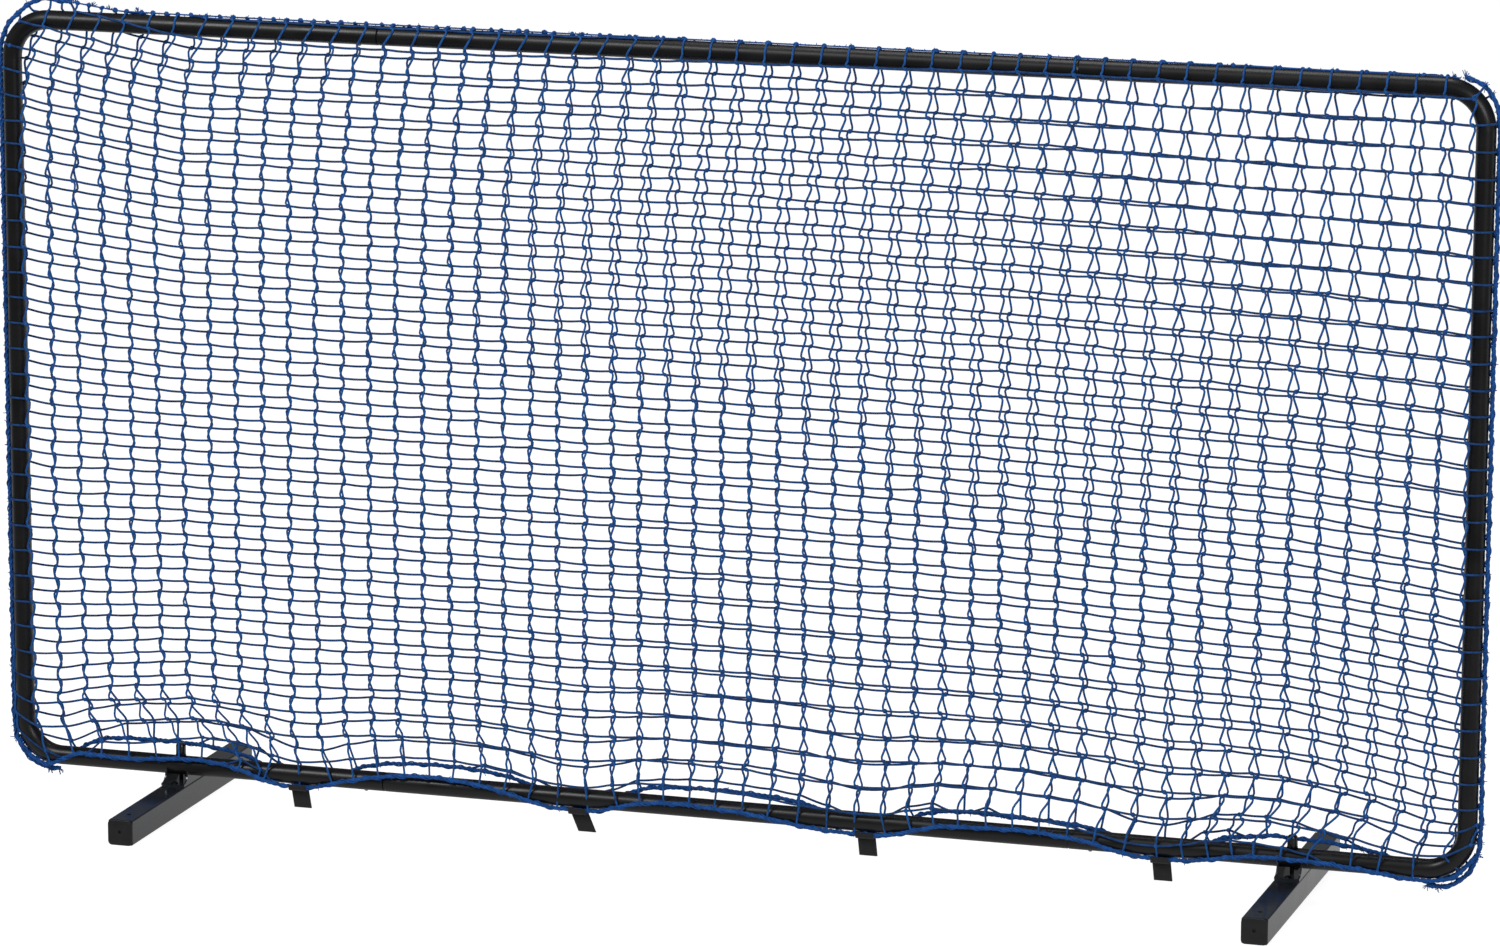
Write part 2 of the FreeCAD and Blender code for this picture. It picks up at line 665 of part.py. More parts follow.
def strap(x):
    """A strap that cradles both hems under the rail, with its joined ends hanging down."""
    hem_y = math.sqrt(hem_reach**2 - hem_low**2)
    wall = hem_radius + strap_gap + strap_thickness / 2
    arm_y = hem_y + wall
    floor_z = hem_low - wall
    bend_z = floor_z + strap_shoulder + strap_thickness / 2
    cradle = [
        Vector(0, -arm_y, bend_z + strap_arm),
        Vector(0, -arm_y, bend_z),
        Vector(0, -arm_y + strap_shoulder, floor_z),
        Vector(0, arm_y - strap_shoulder, floor_z),
        Vector(0, arm_y, bend_z),
        Vector(0, arm_y, bend_z + strap_arm),
    ]
    loop = ribbon(cradle, strap_thickness).extrude(Vector(strap_width, 0, 0))
    tail = Part.makeBox(strap_width, 2 * strap_thickness, strap_tail)
    tail.translate(Vector(0, -strap_thickness, floor_z - strap_tail))
    whole = loop.fuse(tail).removeSplitter()
    whole.translate(Vector(x - strap_width / 2, 0, low_z))
    return whole


def build():
    """All nodes of the part, by name."""
    nodes = {}
    right_frame = end_frame()
    nodes["end_frame_right"] = right_frame
    nodes["end_frame_left"] = mirrored(right_frame)
    for level, z in (("top", high_z), ("bottom", low_z)):
        nodes[f"{level}_rail"] = middle_rail(z)
        button = snap_button(button_x, z)
        spring = leaf_spring(button_x, z)
        nodes[f"snap_button_{level}_right"] = button
        nodes[f"button_spring_{level}_right"] = spring
        nodes[f"snap_button_{level}_left"] = mirrored(button)
        nodes[f"button_spring_{level}_left"] = mirrored(spring)

    right_foot = foot()
    right_bracket = bracket()
    nodes["foot_right"] = right_foot
    nodes["foot_left"] = right_foot.translated(Vector(-2 * foot_offset, 0, 0))
    nodes["bracket_right"] = right_bracket
    nodes["bracket_left"] = mirrored(right_bracket)
    rivet_set = []
    for side, x in (("left", -foot_offset), ("right", foot_offset)):
        for end, facing in (("front", -1), ("rear", 1)):
            nodes[f"end_cap_{side}_{end}"] = foot_cap(facing).translated(Vector(x, 0, 0))
        rivet_set += [r.translated(Vector(x, 0, 0)) for r in rivets(rivet_radius, head=True)]
    nodes["cap_rivets"] = Part.makeCompound(rivet_set)

    both = (-foot_offset, foot_offset)
    weld_z = foot_size - foot_wall - nut_height
    rail_nut_z = low_z + tube_radius + washer_height
    nodes["bracket_screws"] = Part.makeCompound([s for x in both for s in bracket_screws(x)])
    nodes["weld_nuts"] = Part.makeCompound(
        [nut(x, y, weld_z) for x in both for y in (-bolt_spread / 2, bolt_spread / 2)]
    )
    nodes["rail_bolts"] = Part.makeCompound([rail_bolt(x) for x in both])
    nodes["saddle_washers"] = Part.makeCompound([saddle_washer(x) for x in both])
    nodes["rail_nuts"] = Part.makeCompound([nut(x, 0, rail_nut_z) for x in both])
    nodes["nut_covers"] = Part.makeCompound([nut_cover(x) for x in both])

    front = hem_heights(front_hem_spans)
    back = hem_heights(back_hem_spans)
    nodes["net_front"] = net_layer(front, -1)
    nodes["net_back"] = net_layer(back, 1)
    nodes["hem_front"] = rope("hem_front", hem_path(front, -1), hem_radius)
    nodes["hem_back"] = rope("hem_back", hem_path(back, 1), hem_radius)
    left_rope = edge_rope(-1, low_left_turns, high_left_turns)
    right_rope = edge_rope(1, low_right_turns, high_right_turns)
    nodes["side_rope_left"] = rope("side_rope_left", left_rope, side_rope_radius)
    nodes["side_rope_right"] = rope("side_rope_right", right_rope, side_rope_radius)
    nodes["fold_cord"] = rope("fold_cord", fold_cord(), fold_cord_radius)
    for i, x in enumerate(strap_places):
        nodes[f"tie_strap_{i + 1}"] = strap(x)
    return nodes


os.makedirs("parts", exist_ok=True)
for name, shape in build().items():
    if not shape.isValid():
        print(f"{name} is not a valid shape")
    shape.exportStep(f"parts/{name}.step")
    box = shape.BoundBox
    print(f"{name}: {len(shape.Solids)} solid(s), volume {shape.Volume:.0f}, z {box.ZMin:.2f} to {box.ZMax:.2f}")
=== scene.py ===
"""The looks of a rebound screen: a rounded tube frame dressed in a knotted net, on two square feet."""

import json
import logging
import math
from dataclasses import dataclass, field
from enum import Enum
from typing import Any, Callable, Iterable, Sequence

import bmesh
import bpy
import numpy as np
from mathutils import Matrix, Vector

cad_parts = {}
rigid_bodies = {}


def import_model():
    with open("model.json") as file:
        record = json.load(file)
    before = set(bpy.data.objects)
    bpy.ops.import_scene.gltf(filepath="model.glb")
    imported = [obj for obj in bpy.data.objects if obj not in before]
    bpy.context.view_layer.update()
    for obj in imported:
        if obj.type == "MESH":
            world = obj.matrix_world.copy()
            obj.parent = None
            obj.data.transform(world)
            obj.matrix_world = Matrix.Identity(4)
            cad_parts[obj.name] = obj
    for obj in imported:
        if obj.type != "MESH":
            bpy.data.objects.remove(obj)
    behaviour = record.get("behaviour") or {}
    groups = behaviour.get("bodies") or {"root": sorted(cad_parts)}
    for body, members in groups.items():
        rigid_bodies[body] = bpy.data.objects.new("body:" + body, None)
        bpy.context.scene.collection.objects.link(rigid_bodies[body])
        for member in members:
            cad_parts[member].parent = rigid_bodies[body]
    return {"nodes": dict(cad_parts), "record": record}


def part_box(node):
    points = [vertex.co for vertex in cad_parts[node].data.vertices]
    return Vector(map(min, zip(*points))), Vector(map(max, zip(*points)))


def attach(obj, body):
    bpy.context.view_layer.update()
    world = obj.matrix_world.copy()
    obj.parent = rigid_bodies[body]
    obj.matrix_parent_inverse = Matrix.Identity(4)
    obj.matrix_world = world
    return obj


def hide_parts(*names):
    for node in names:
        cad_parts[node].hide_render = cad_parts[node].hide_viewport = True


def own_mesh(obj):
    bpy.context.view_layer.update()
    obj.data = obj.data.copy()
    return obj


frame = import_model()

LOG = logging.getLogger("screen")
ROOT = "screen"
Point = tuple[float, float, float]


# Shared tools


def linear(code: str) -> tuple[float, float, float, float]:
    """Turns an sRGB hex colour into linear light.

    Args:
        code: Six hex digits with a leading hash.

    Returns:
        Linear red, green and blue, with an alpha of 1.
    """
    parts = [int(code[i : i + 2], 16) / 255 for i in (1, 3, 5)]
    red, green, blue = (c / 12.92 if c <= 0.04045 else ((c + 0.055) / 1.055) ** 2.4 for c in parts)
    return red, green, blue, 1.0


def per_metre(size_mm: float) -> float:
    """Gives a texture's scale from the real size of one of its features."""
    return 1000.0 / size_mm


def add(
    tree: bpy.types.NodeTree,
    kind: str,
    values: dict[Any, Any] | None = None,
    links: dict[Any, bpy.types.NodeSocket] | None = None,
    stops: Sequence[tuple[float, str]] = (),
    **settings: Any,
) -> bpy.types.Node:
    """Adds one shader node.

    Args:
        tree: The material's node tree.
        kind: The node's type name.
        values: Socket names or numbers with the values they are set to.
        links: Socket names or numbers with the sockets that feed them.
        stops: The two stops of a colour ramp, places from 0 to 1 with their hex colours.
        settings: Properties of the node itself.

    Returns:
        The new node.
    """
    node = tree.nodes.new(kind)
    if stops:
        for element, (place, code) in zip(node.color_ramp.elements, stops):
            element.position = place
            element.color = linear(code)
    for key, value in settings.items():
        setattr(node, key, value)
    for key, value in (values or {}).items():
        node.inputs[key].default_value = value
    for key, socket in (links or {}).items():
        tree.links.new(socket, node.inputs[key])
    return node


def blank_material(name: str) -> tuple[bpy.types.Material, bpy.types.NodeTree]:
    """Makes a material with an empty node tree.

    Args:
        name: The material's name.

    Returns:
        The material and its node tree.
    """
    material = bpy.data.materials.new(name)
    material.use_nodes = True
    material.node_tree.nodes.clear()
    return material, material.node_tree


def placed(name: str, data: bpy.types.ID) -> bpy.types.Object:
    """Puts a mesh, curve, lamp or camera into the scene as an object.

    Args:
        name: The object's name.
        data: The mesh, curve, lamp or camera.

    Returns:
        The object.
    """
    obj = bpy.data.objects.new(name, data)
    bpy.context.scene.collection.objects.link(obj)
    return obj


def deselect() -> None:
    """Leaves nothing selected."""
    for obj in bpy.context.view_layer.objects:
        obj.select_set(False)


def activate(obj: bpy.types.Object) -> None:
    """Selects one object alone and makes it the active one.

    Args:
        obj: The object.
    """
    deselect()
    obj.select_set(True)
    bpy.context.view_layer.objects.active = obj


def paint(obj: bpy.types.Object, material: bpy.types.Material) -> None:
    """Gives an object one material all over."""
    obj.data.materials.clear()
    obj.data.materials.append(material)


def settle(obj: bpy.types.Object) -> None:
    """Puts an object's place, turn and size into its mesh.

    Args:
        obj: The mesh object.
    """
    obj.data.transform(obj.matrix_basis)
    obj.matrix_basis = Matrix.Identity(4)
    obj.data.update()


def tidy_mesh(obj: bpy.types.Object, merge: float = 1e-6) -> None:
    """Merges doubled points and turns every face outwards.

    Args:
        obj: The mesh object.
        merge: Points closer than this, in metres, become one.
    """
    mesh = bmesh.new()
    mesh.from_mesh(obj.data)
    bmesh.ops.remove_doubles(mesh, verts=mesh.verts, dist=merge)
    bmesh.ops.recalc_face_normals(mesh, faces=mesh.faces)
    mesh.to_mesh(obj.data)
    mesh.free()


def smooth(obj: bpy.types.Object, degrees: float = 40.0) -> None:
    """Shades an object smooth, with edges kept where faces meet at more than an angle."""
    activate(obj)
    bpy.ops.object.shade_smooth_by_angle(angle=math.radians(degrees))


def spline_object(
    name: str,
    routes: Iterable[Sequence[Sequence[float]]],
    radius: float = 0.0,
    steps: int = 4,
    roundness: int = 1,
    swell: Callable[[int, int], float] | None = None,
) -> bpy.types.Object:
    """Makes a curve object of open cords.

    Args:
        name: The object's name.
        routes: The control points of each cord, in metres.
        radius: The cords' radius, or 0 for a bare line.
        steps: Parts made of each run between control points.
        roundness: How finely the cord's section is divided.
        swell: Gives the thickness at a control point, from its number and the count of them.

    Returns:
        The curve object.
    """
    data = bpy.data.curves.new(name, "CURVE")
    data.dimensions = "3D"
    data.resolution_u = data.render_resolution_u = steps
    data.bevel_depth = radius
    data.bevel_resolution = roundness
    data.use_fill_caps = radius > 0
    for route in routes:
        spline = data.splines.new("NURBS")
        spline.points.add(len(route) - 1)
        for number, (point, place) in enumerate(zip(spline.points, route)):
            point.co = (*place, 1.0)
            if swell is not None:
                point.radius = swell(number, len(route))
        spline.order_u = 3
        spline.use_endpoint_u = True
    return placed(name, data)


def meshed(obj: bpy.types.Object) -> bpy.types.Object:
    """Turns a curve object into a mesh object of the same name.

    Args:
        obj: The curve object.

    Returns:
        The mesh object.
    """
    activate(obj)
    bpy.ops.object.convert(target="MESH")
    made = bpy.context.view_layer.objects.active
    made.data.name = made.name
    for polygon in made.data.polygons:
        polygon.use_smooth = True
    return made


def spline_points(route: Sequence[Sequence[float]], steps: int = 6) -> list[Vector]:
    """Reads the points along a route's smooth curve.

    Args:
        route: The control points, in metres.
        steps: Parts made of each run between control points.

    Returns:
        The points, from the first end to the last.
    """
    obj = spline_object("line", [route], 0.0, steps)
    bpy.context.view_layer.update()
    mesh = bpy.data.meshes.new_from_object(obj.evaluated_get(bpy.context.evaluated_depsgraph_get()))
    points = [v.co.copy() for v in mesh.vertices]
    bpy.data.meshes.remove(mesh)
    curve = obj.data
    bpy.data.objects.remove(obj)
    bpy.data.curves.remove(curve)
    return points


def even_points(points: Sequence[Vector], spacing: float) -> list[Vector]:
    """Takes evenly spaced points along a line of points.

    Args:
        points: The line.
        spacing: The wanted distance between the new points, in metres.

    Returns:
        The new points, both ends included.
    """
    lengths = [0.0]
    for a, b in zip(points, points[1:]):
        lengths.append(lengths[-1] + (b - a).length)
    count = max(2, round(lengths[-1] / spacing))
    places = np.linspace(0, lengths[-1], count + 1)
    array = np.array([p[:] for p in points])
    return [Vector(p) for p in np.stack([np.interp(places, lengths, array[:, k]) for k in range(3)], axis=1)]


def frames_along(points: Sequence[Vector]) -> list[tuple[Vector, Vector, Vector]]:
    """Carries an untwisted set of axes along a line.

    Args:
        points: The line.

    Returns:
        At each point the direction of the line and two axes across it.
    """
    made = []
    across = None
    for i in range(len(points)):
        along = (points[min(i + 1, len(points) - 1)] - points[max(i - 1, 0)]).normalized()
        if across is None:
            seed = Vector((0, 1, 0)) if abs(along.y) < 0.9 else Vector((1, 0, 0))
            across = (seed - along * seed.dot(along)).normalized()
        else:
            across = (across - along * across.dot(along)).normalized()
        made.append((along, across, along.cross(across)))
    return made


def scattered(name: str, model: bpy.types.Object, places: Sequence[Matrix]) -> bpy.types.Object:
    """Copies one small shape to many places, as one mesh.

    Args:
        name: The new object's name.
        model: The shape, modelled about the origin.
        places: Where each copy goes.

    Returns:
        The new object.
    """
    source = model.data
    corners = np.array([v.co[:] for v in source.vertices])
    faces = [tuple(p.vertices) for p in source.polygons]
    points, polygons = [], []
    for number, place in enumerate(places):
        turn = np.array(place.to_3x3())
        points.append(corners @ turn.T + np.array(place.translation))
        shift = number * len(corners)
        polygons.extend(tuple(v + shift for v in face) for face in faces)
    mesh = bpy.data.meshes.new(name)
    mesh.from_pydata(np.concatenate(points).tolist(), [], polygons)
    for polygon in mesh.polygons:
        polygon.use_smooth = True
    return placed(name, mesh)


def joined(name: str, objects: Sequence[bpy.types.Object]) -> bpy.types.Object:
    """Joins several mesh objects into one.

    Args:
        name: The joined object's name.
        objects: The objects, of which the first takes in the others.

    Returns:
        The joined object.
    """
    deselect()
    for obj in objects:
        obj.select_set(True)
    bpy.context.view_layer.objects.active = objects[0]
    bpy.ops.object.join()
    made = bpy.context.view_layer.objects.active
    made.name = made.data.name = name
    return made


def seat(
    obj: bpy.types.Object, material: bpy.types.Material, nodes: Sequence[str] = ()
) -> bpy.types.Object:
    """Finishes a piece and fixes it to the screen.

    Args:
        obj: The finished mesh object.
        material: What it is made of.
        nodes: The plain solids that it stands for.

    Returns:
        The piece.
    """
    paint(obj, material)
    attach(obj, ROOT)
    if nodes:
        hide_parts(*nodes)
    LOG.info("%s: %d faces", obj.name, len(obj.data.polygons))
    return obj


# Finishes


class Weave(Enum):
    """How a cord's yarns are put together."""

    TWISTED = "twisted"
    BRAIDED = "braided"


@dataclass(frozen=True)
class StovedEnamel:
    """Powder-coated steel tube: a black film with a faint peel, glossy enough to carry soft reflections."""

    name: str = "powder_coated_steel"
    colour: str = "#0f0f10"
    worn: str = "#18181a"
    roughness: float = 0.36
    cloud_mm: float = 90.0
    peel_mm: float = 3.0
    peel_depth: float = 0.00002
    dust: float = 0.08
    gloss: float = 0.42
    coat: float = 0.08

    def build(self) -> bpy.types.Material:
        """Makes the material.

        Returns:
            The powder coat.
        """
        material, tree = blank_material(self.name)
        place = add(tree, "ShaderNodeTexCoord").outputs["Object"]
        # Slow changes in tone, as an enamelled tube has from handling and settled dust
        slow = {"Scale": per_metre(self.cloud_mm), "Detail": 4.0, "Roughness": 0.6}
        cloud = add(tree, "ShaderNodeTexNoise", slow, {"Vector": place})
        shades = ((0.35, self.colour), (0.75, self.worn))
        tone = add(tree, "ShaderNodeValToRGB", links={"Fac": cloud.outputs["Fac"]}, stops=shades)
        # The film's peel, which breaks up the long highlights
        fine = {"Scale": per_metre(self.peel_mm), "Detail": 2.0}
        peel = add(tree, "ShaderNodeTexNoise", fine, {"Vector": place})
        bump = add(
            tree,
            "ShaderNodeBump",
            {"Strength": 0.35, "Distance": self.peel_depth},
            {"Height": peel.outputs["Fac"]},
        )
        spread = {
            "From Min": 0.3,
            "From Max": 0.7,
            "To Min": self.roughness - 0.05,
            "To Max": self.roughness + self.dust,
        }
        sheen = add(tree, "ShaderNodeMapRange", spread, {"Value": cloud.outputs["Fac"]})
        shader = add(
            tree,
            "ShaderNodeBsdfPrincipled",
            {"Specular IOR Level": self.gloss, "Coat Weight": self.coat, "Coat Roughness": 0.12},
            {
                "Base Color": tone.outputs["Color"],
                "Roughness": sheen.outputs["Result"],
                "Normal": bump.outputs["Normal"],
            },
        )
        add(tree, "ShaderNodeOutputMaterial", links={"Surface": shader.outputs[0]})
        return material


@dataclass(frozen=True)
class MouldedPolymer:
    """Injection-moulded polyethylene or nylon: a fine spark-eroded grain over a plain body colour."""

    name: str
    colour: str
    roughness: float
    grain_mm: float = 0.7  # the real grain is finer, and would not show
    grain_depth: float = 0.00004
    flow_mm: float = 24.0
    lighter: int = 10  # steps of 255 between the two tones of the plastic's flow
    coat: float = 0.0

    def build(self) -> bpy.types.Material:
        """Makes the material.

        Returns:
            The moulded plastic.
        """
        material, tree = blank_material(self.name)
        place = add(tree, "ShaderNodeTexCoord").outputs["Object"]
        fine = {"Scale": per_metre(self.grain_mm), "Detail": 3.0}
        grain = add(tree, "ShaderNodeTexNoise", fine, {"Vector": place})
        slow = {"Scale": per_metre(self.flow_mm), "Detail": 2.0}
        flow = add(tree, "ShaderNodeTexNoise", slow, {"Vector": place})
        raised = (min(255, int(self.colour[i : i + 2], 16) + self.lighter) for i in (1, 3, 5))
        light = "#%02x%02x%02x" % tuple(raised)
        shades = ((0.3, self.colour), (0.8, light))
        tone = add(tree, "ShaderNodeValToRGB", links={"Fac": flow.outputs["Fac"]}, stops=shades)
        relief = {"Strength": 0.4, "Distance": self.grain_depth}
        bump = add(tree, "ShaderNodeBump", relief, {"Height": grain.outputs["Fac"]})
        spread = add(
            tree,
            "ShaderNodeMapRange",
            {"To Min": self.roughness - 0.06, "To Max": self.roughness + 0.08},
            {"Value": grain.outputs["Fac"]},
        )
        shader = add(
            tree,
            "ShaderNodeBsdfPrincipled",
            {"Coat Weight": self.coat, "Coat Roughness": 0.06},
            {
                "Base Color": tone.outputs["Color"],
                "Roughness": spread.outputs["Result"],
                "Normal": bump.outputs["Normal"],
            },
        )
        add(tree, "ShaderNodeOutputMaterial", links={"Surface": shader.outputs[0]})
        return material


@dataclass(frozen=True)
class PlatedSteel:
    """Plated or blackened steel hardware: metal with turned marks and slight spots in its plating."""

    name: str
    colour: str
    spot: str
    roughness: float
    spot_mm: float = 4.0
    mark_mm: float = 0.8  # real turning marks are finer, and would not show
    mark_depth: float = 0.00003

    def build(self) -> bpy.types.Material:
        """Makes the material.

        Returns:
            The plated steel.
        """
        material, tree = blank_material(self.name)
        place = add(tree, "ShaderNodeTexCoord").outputs["Object"]
        blotches = {"Scale": per_metre(self.spot_mm), "Detail": 5.0, "Roughness": 0.7}
        spots = add(tree, "ShaderNodeTexNoise", blotches, {"Vector": place})
        shades = ((0.42, self.colour), (0.72, self.spot))
        tone = add(tree, "ShaderNodeValToRGB", links={"Fac": spots.outputs["Fac"]}, stops=shades)
        fine = {"Scale": per_metre(self.mark_mm), "Detail": 2.0}
        marks = add(tree, "ShaderNodeTexNoise", fine, {"Vector": place})
        relief = {"Strength": 0.3, "Distance": self.mark_depth}
        bump = add(tree, "ShaderNodeBump", relief, {"Height": marks.outputs["Fac"]})
        spread = add(
            tree,
            "ShaderNodeMapRange",
            {"To Min": self.roughness - 0.08, "To Max": self.roughness + 0.12},
            {"Value": spots.outputs["Fac"]},
        )
        shader = add(
            tree,
            "ShaderNodeBsdfPrincipled",
            {"Metallic": 1.0},
            {
                "Base Color": tone.outputs["Color"],
                "Roughness": spread.outputs["Result"],
                "Normal": bump.outputs["Normal"],
            },
        )
        add(tree, "ShaderNodeOutputMaterial", links={"Surface": shader.outputs[0]})
        return material


@dataclass(frozen=True)
class SpunCord:
    """Spun polyethylene cord: a hairy, slightly waxy fibre that is navy in shade and royal blue in light."""

    name: str
    colour: str
    deep: str
    weave: Weave = Weave.BRAIDED
    patch_mm: float = 11.0
    fibre_mm: float = 1.1  # real fibres are finer, and would not show
    depth: float = 0.0003
    yarns: int = 3
    turns: float = 0.0  # of the yarns round each other along the whole cord

    def build(self) -> bpy.types.Material:
        """Makes the material.

        Returns:
            The cord's fibre.
        """
        material, tree = blank_material(self.name)
        coordinates = add(tree, "ShaderNodeTexCoord")
        place = coordinates.outputs["Object"]
        # Uneven dye and dirt along each cord
        uneven = {"Scale": per_metre(self.patch_mm), "Detail": 4.0, "Roughness": 0.65}
        patches = add(tree, "ShaderNodeTexNoise", uneven, {"Vector": place})
        shade = patches.outputs["Fac"]
        fine = {"Scale": per_metre(self.fibre_mm), "Detail": 3.0}
        fibre = add(tree, "ShaderNodeTexNoise", fine, {"Vector": place})
        height = fibre.outputs["Fac"]
        if self.weave is Weave.TWISTED:
            # The lay of the yarns: the UV map runs along the cord first and round it second
            split = add(tree, "ShaderNodeSeparateXYZ", links={"Vector": coordinates.outputs["UV"]})
            turned = add(
                tree,
                "ShaderNodeMath",
                {1: self.turns},
                {0: split.outputs["X"], 2: split.outputs["Y"]},
                operation="MULTIPLY_ADD",
            )
            count = {1: float(self.yarns)}
            strands = add(tree, "ShaderNodeMath", count, {0: turned.outputs[0]}, operation="MULTIPLY")
            ridge = add(tree, "ShaderNodeMath", {1: 0.5}, {0: strands.outputs[0]}, operation="PINGPONG")
            # Grooves between the yarns are deep in the bump, and their tone is painted shade: darker in the
            # grooves and lighter on the yarns' crowns
            over_fibre = {0: ridge.outputs[0], 2: height}
            rise = add(tree, "ShaderNodeMath", {1: 1.6}, over_fibre, operation="MULTIPLY_ADD")
            darker = {1: 0.5, 2: -0.12}
            groove_shade = add(tree, "ShaderNodeMath", darker, {0: ridge.outputs[0]}, operation="MULTIPLY_ADD")
            mixed = add(tree, "ShaderNodeMath", links={0: groove_shade.outputs[0], 1: shade}, operation="ADD")
            height = rise.outputs[0]
            shade = mixed.outputs[0]
        shades = ((0.3, self.deep), (0.62, self.colour))
        tone = add(tree, "ShaderNodeValToRGB", links={"Fac": shade}, stops=shades)
        bump = add(tree, "ShaderNodeBump", {"Strength": 0.8, "Distance": self.depth}, {"Height": height})
        even = {
            "Roughness": 0.72,
            "Specular IOR Level": 0.3,
            "Sheen Weight": 0.05,
            "Sheen Roughness": 0.4,
            "Sheen Tint": linear("#6fa4d8"),
        }
        fed = {"Base Color": tone.outputs["Color"], "Normal": bump.outputs["Normal"]}
        shader = add(tree, "ShaderNodeBsdfPrincipled", even, fed)
        add(tree, "ShaderNodeOutputMaterial", links={"Surface": shader.outputs[0]})
        return material


@dataclass(frozen=True)
class NylonWebbing:
    """Woven nylon webbing: matt black, with ribs across its width."""

    name: str = "nylon_webbing"
    colour: str = "#161617"
    # painted highlight: the tone given to the weave's raised threads
    raised: str = "#262627"
    rib_mm: float = 1.6
    warp_mm: float = 1.28
    depth: float = 0.0003

    def build(self) -> bpy.types.Material:
        """Makes the material.

        Returns:
            The webbing.
        """
        material, tree = blank_material(self.name)
        place = add(tree, "ShaderNodeTexCoord").outputs["Object"]
        ribs = add(
            tree,
            "ShaderNodeTexWave",
            {"Scale": per_metre(self.rib_mm) / math.tau, "Distortion": 0.6, "Detail": 1.0},
            {"Vector": place},
            bands_direction="Z",
        )
        warp = add(
            tree,
            "ShaderNodeTexWave",
            {"Scale": per_metre(self.warp_mm) / math.tau, "Distortion": 0.4, "Detail": 1.0},
            {"Vector": place},
            bands_direction="X",
        )
        crossed = {0: ribs.outputs["Fac"], 1: warp.outputs["Fac"]}
        weave = add(tree, "ShaderNodeMath", links=crossed, operation="MULTIPLY")
        # Painted light and shade: the tone follows the weave's relief, lighter on the raised threads and
        # darker in the hollows between them
        shades = ((0.15, self.colour), (0.85, self.raised))
        tone = add(tree, "ShaderNodeValToRGB", links={"Fac": weave.outputs[0]}, stops=shades)
        relief = {"Strength": 0.8, "Distance": self.depth}
        bump = add(tree, "ShaderNodeBump", relief, {"Height": weave.outputs[0]})
        even = {"Roughness": 0.85, "Sheen Weight": 0.15}
        fed = {"Base Color": tone.outputs["Color"], "Normal": bump.outputs["Normal"]}
        shader = add(tree, "ShaderNodeBsdfPrincipled", even, fed)
        add(tree, "ShaderNodeOutputMaterial", links={"Surface": shader.outputs[0]})
        return material


# Sizes of the screen


@dataclass(frozen=True)
class Screen:
    """The frame's main sizes, in metres, as the solids have them."""

    tube: float = 0.01905
    post_x: float = 1.470
    low_z: float = 0.08435
    high_z: float = 1.57435
    bend: float = 0.078
    lay: float = 0.0209  # from a tube's centre to the middle of a cord that lies on it

    def stand_off(self, x: float, z: float) -> tuple[float, Vector]:
        """Measures how far a point lies outside the frame's centre line.

        Args:
            x: The place along the screen.
            z: The height above the floor.

        Returns:
            The distance, below 0 inside the frame, and the outward direction as (x, z).
        """
        centre = Vector((0.0, (self.low_z + self.high_z) / 2))
        half = Vector((self.post_x - self.bend, (self.high_z - self.low_z) / 2 - self.bend))
        at = Vector((x, z)) - centre
        past = Vector((abs(at.x) - half.x, abs(at.y) - half.y))
        signs = Vector((math.copysign(1, at.x), math.copysign(1, at.y)))
        if past.x > 0 and past.y > 0:
            return past.length - self.bend, Vector((past.x * signs.x, past.y * signs.y)).normalized()
        if past.x > past.y:
            return past.x - self.bend, Vector((signs.x, 0))
        return past.y - self.bend, Vector((0, signs.y))

    def wrap(self, x: float, z: float, side: int, proud: float = 0.0) -> Vector:
        """Lays a point of the flat net on the frame, round whose tube it folds.

        Args:
            x: The place along the flat net.
            z: The height on the flat net.
            side: -1 for the front layer, 1 for the back one.
            proud: How far the point stands off the net's own surface.

        Returns:
            The point, in metres.
        """
        reach = self.lay + proud
        out, way = self.stand_off(x, z)
        if out <= 0:
            return Vector((x, side * reach, z))
        turn = min(out / self.lay, math.pi / 2)
        extra = max(0.0, out - self.lay * math.pi / 2)
        base = Vector((x, z)) - way * out
        far = reach * math.sin(turn) + extra
        return Vector((base.x + way.x * far, side * reach * math.cos(turn), base.y + way.y * far))

    def corner(self, side: int, level: int, degrees: float, out_mm: float) -> Point:
        """Gives a point outside one corner's tube.

        Args:
            side: -1 at the left, 1 at the right.
            level: -1 at the bottom, 1 at the top.
            degrees: The turn from the post's direction towards the rail's.
            out_mm: The distance outside the tube, in millimetres.

        Returns:
            The point, in metres.
        """
        centre_x = side * (self.post_x - self.bend)
        centre_z = self.high_z - self.bend if level > 0 else self.low_z + self.bend
        reach = self.bend + self.tube + out_mm / 1000
        turn = math.radians(degrees)
        return centre_x + side * reach * math.cos(turn), 0.0, centre_z + level * reach * math.sin(turn)


SCREEN = Screen()


# Ropes


@dataclass(frozen=True)
class NettingKnot:
    """A netting knot of few faces: a tight core with a slanting turn of cord about it."""

    cord: float
    core: float = 1.5  # this, the turn and its thickness are shares of the cord's radius
    core_shape: Point = (0.95, 0.8, 1.15)
    turn: float = 1.1
    turn_thickness: float = 0.8
    tilt: float = 70.0
    slant: float = 35.0

    def build(self) -> bpy.types.Object:
        """Models the knot.

        Returns:
            The knot, about the origin, seen along Y.
        """
        deselect()
        bpy.ops.mesh.primitive_ico_sphere_add(subdivisions=1, radius=self.cord * self.core)
        core = bpy.context.active_object
        core.scale = self.core_shape
        settle(core)
        deselect()
        bpy.ops.mesh.primitive_torus_add(
            major_segments=8,
            minor_segments=4,
            major_radius=self.cord * self.turn,
            minor_radius=self.cord * self.turn_thickness,
            rotation=(math.radians(self.tilt), math.radians(self.slant), 0),
        )
        turn = bpy.context.active_object
        turn.matrix_basis = turn.matrix_world
        settle(turn)
        return joined("knot", [core, turn])


def thinning(number: int, count: int) -> float:
    """Gives a loose fibre's thickness at one of its control points, as it thins towards its end."""
    return 1.0 - 0.35 * number / count


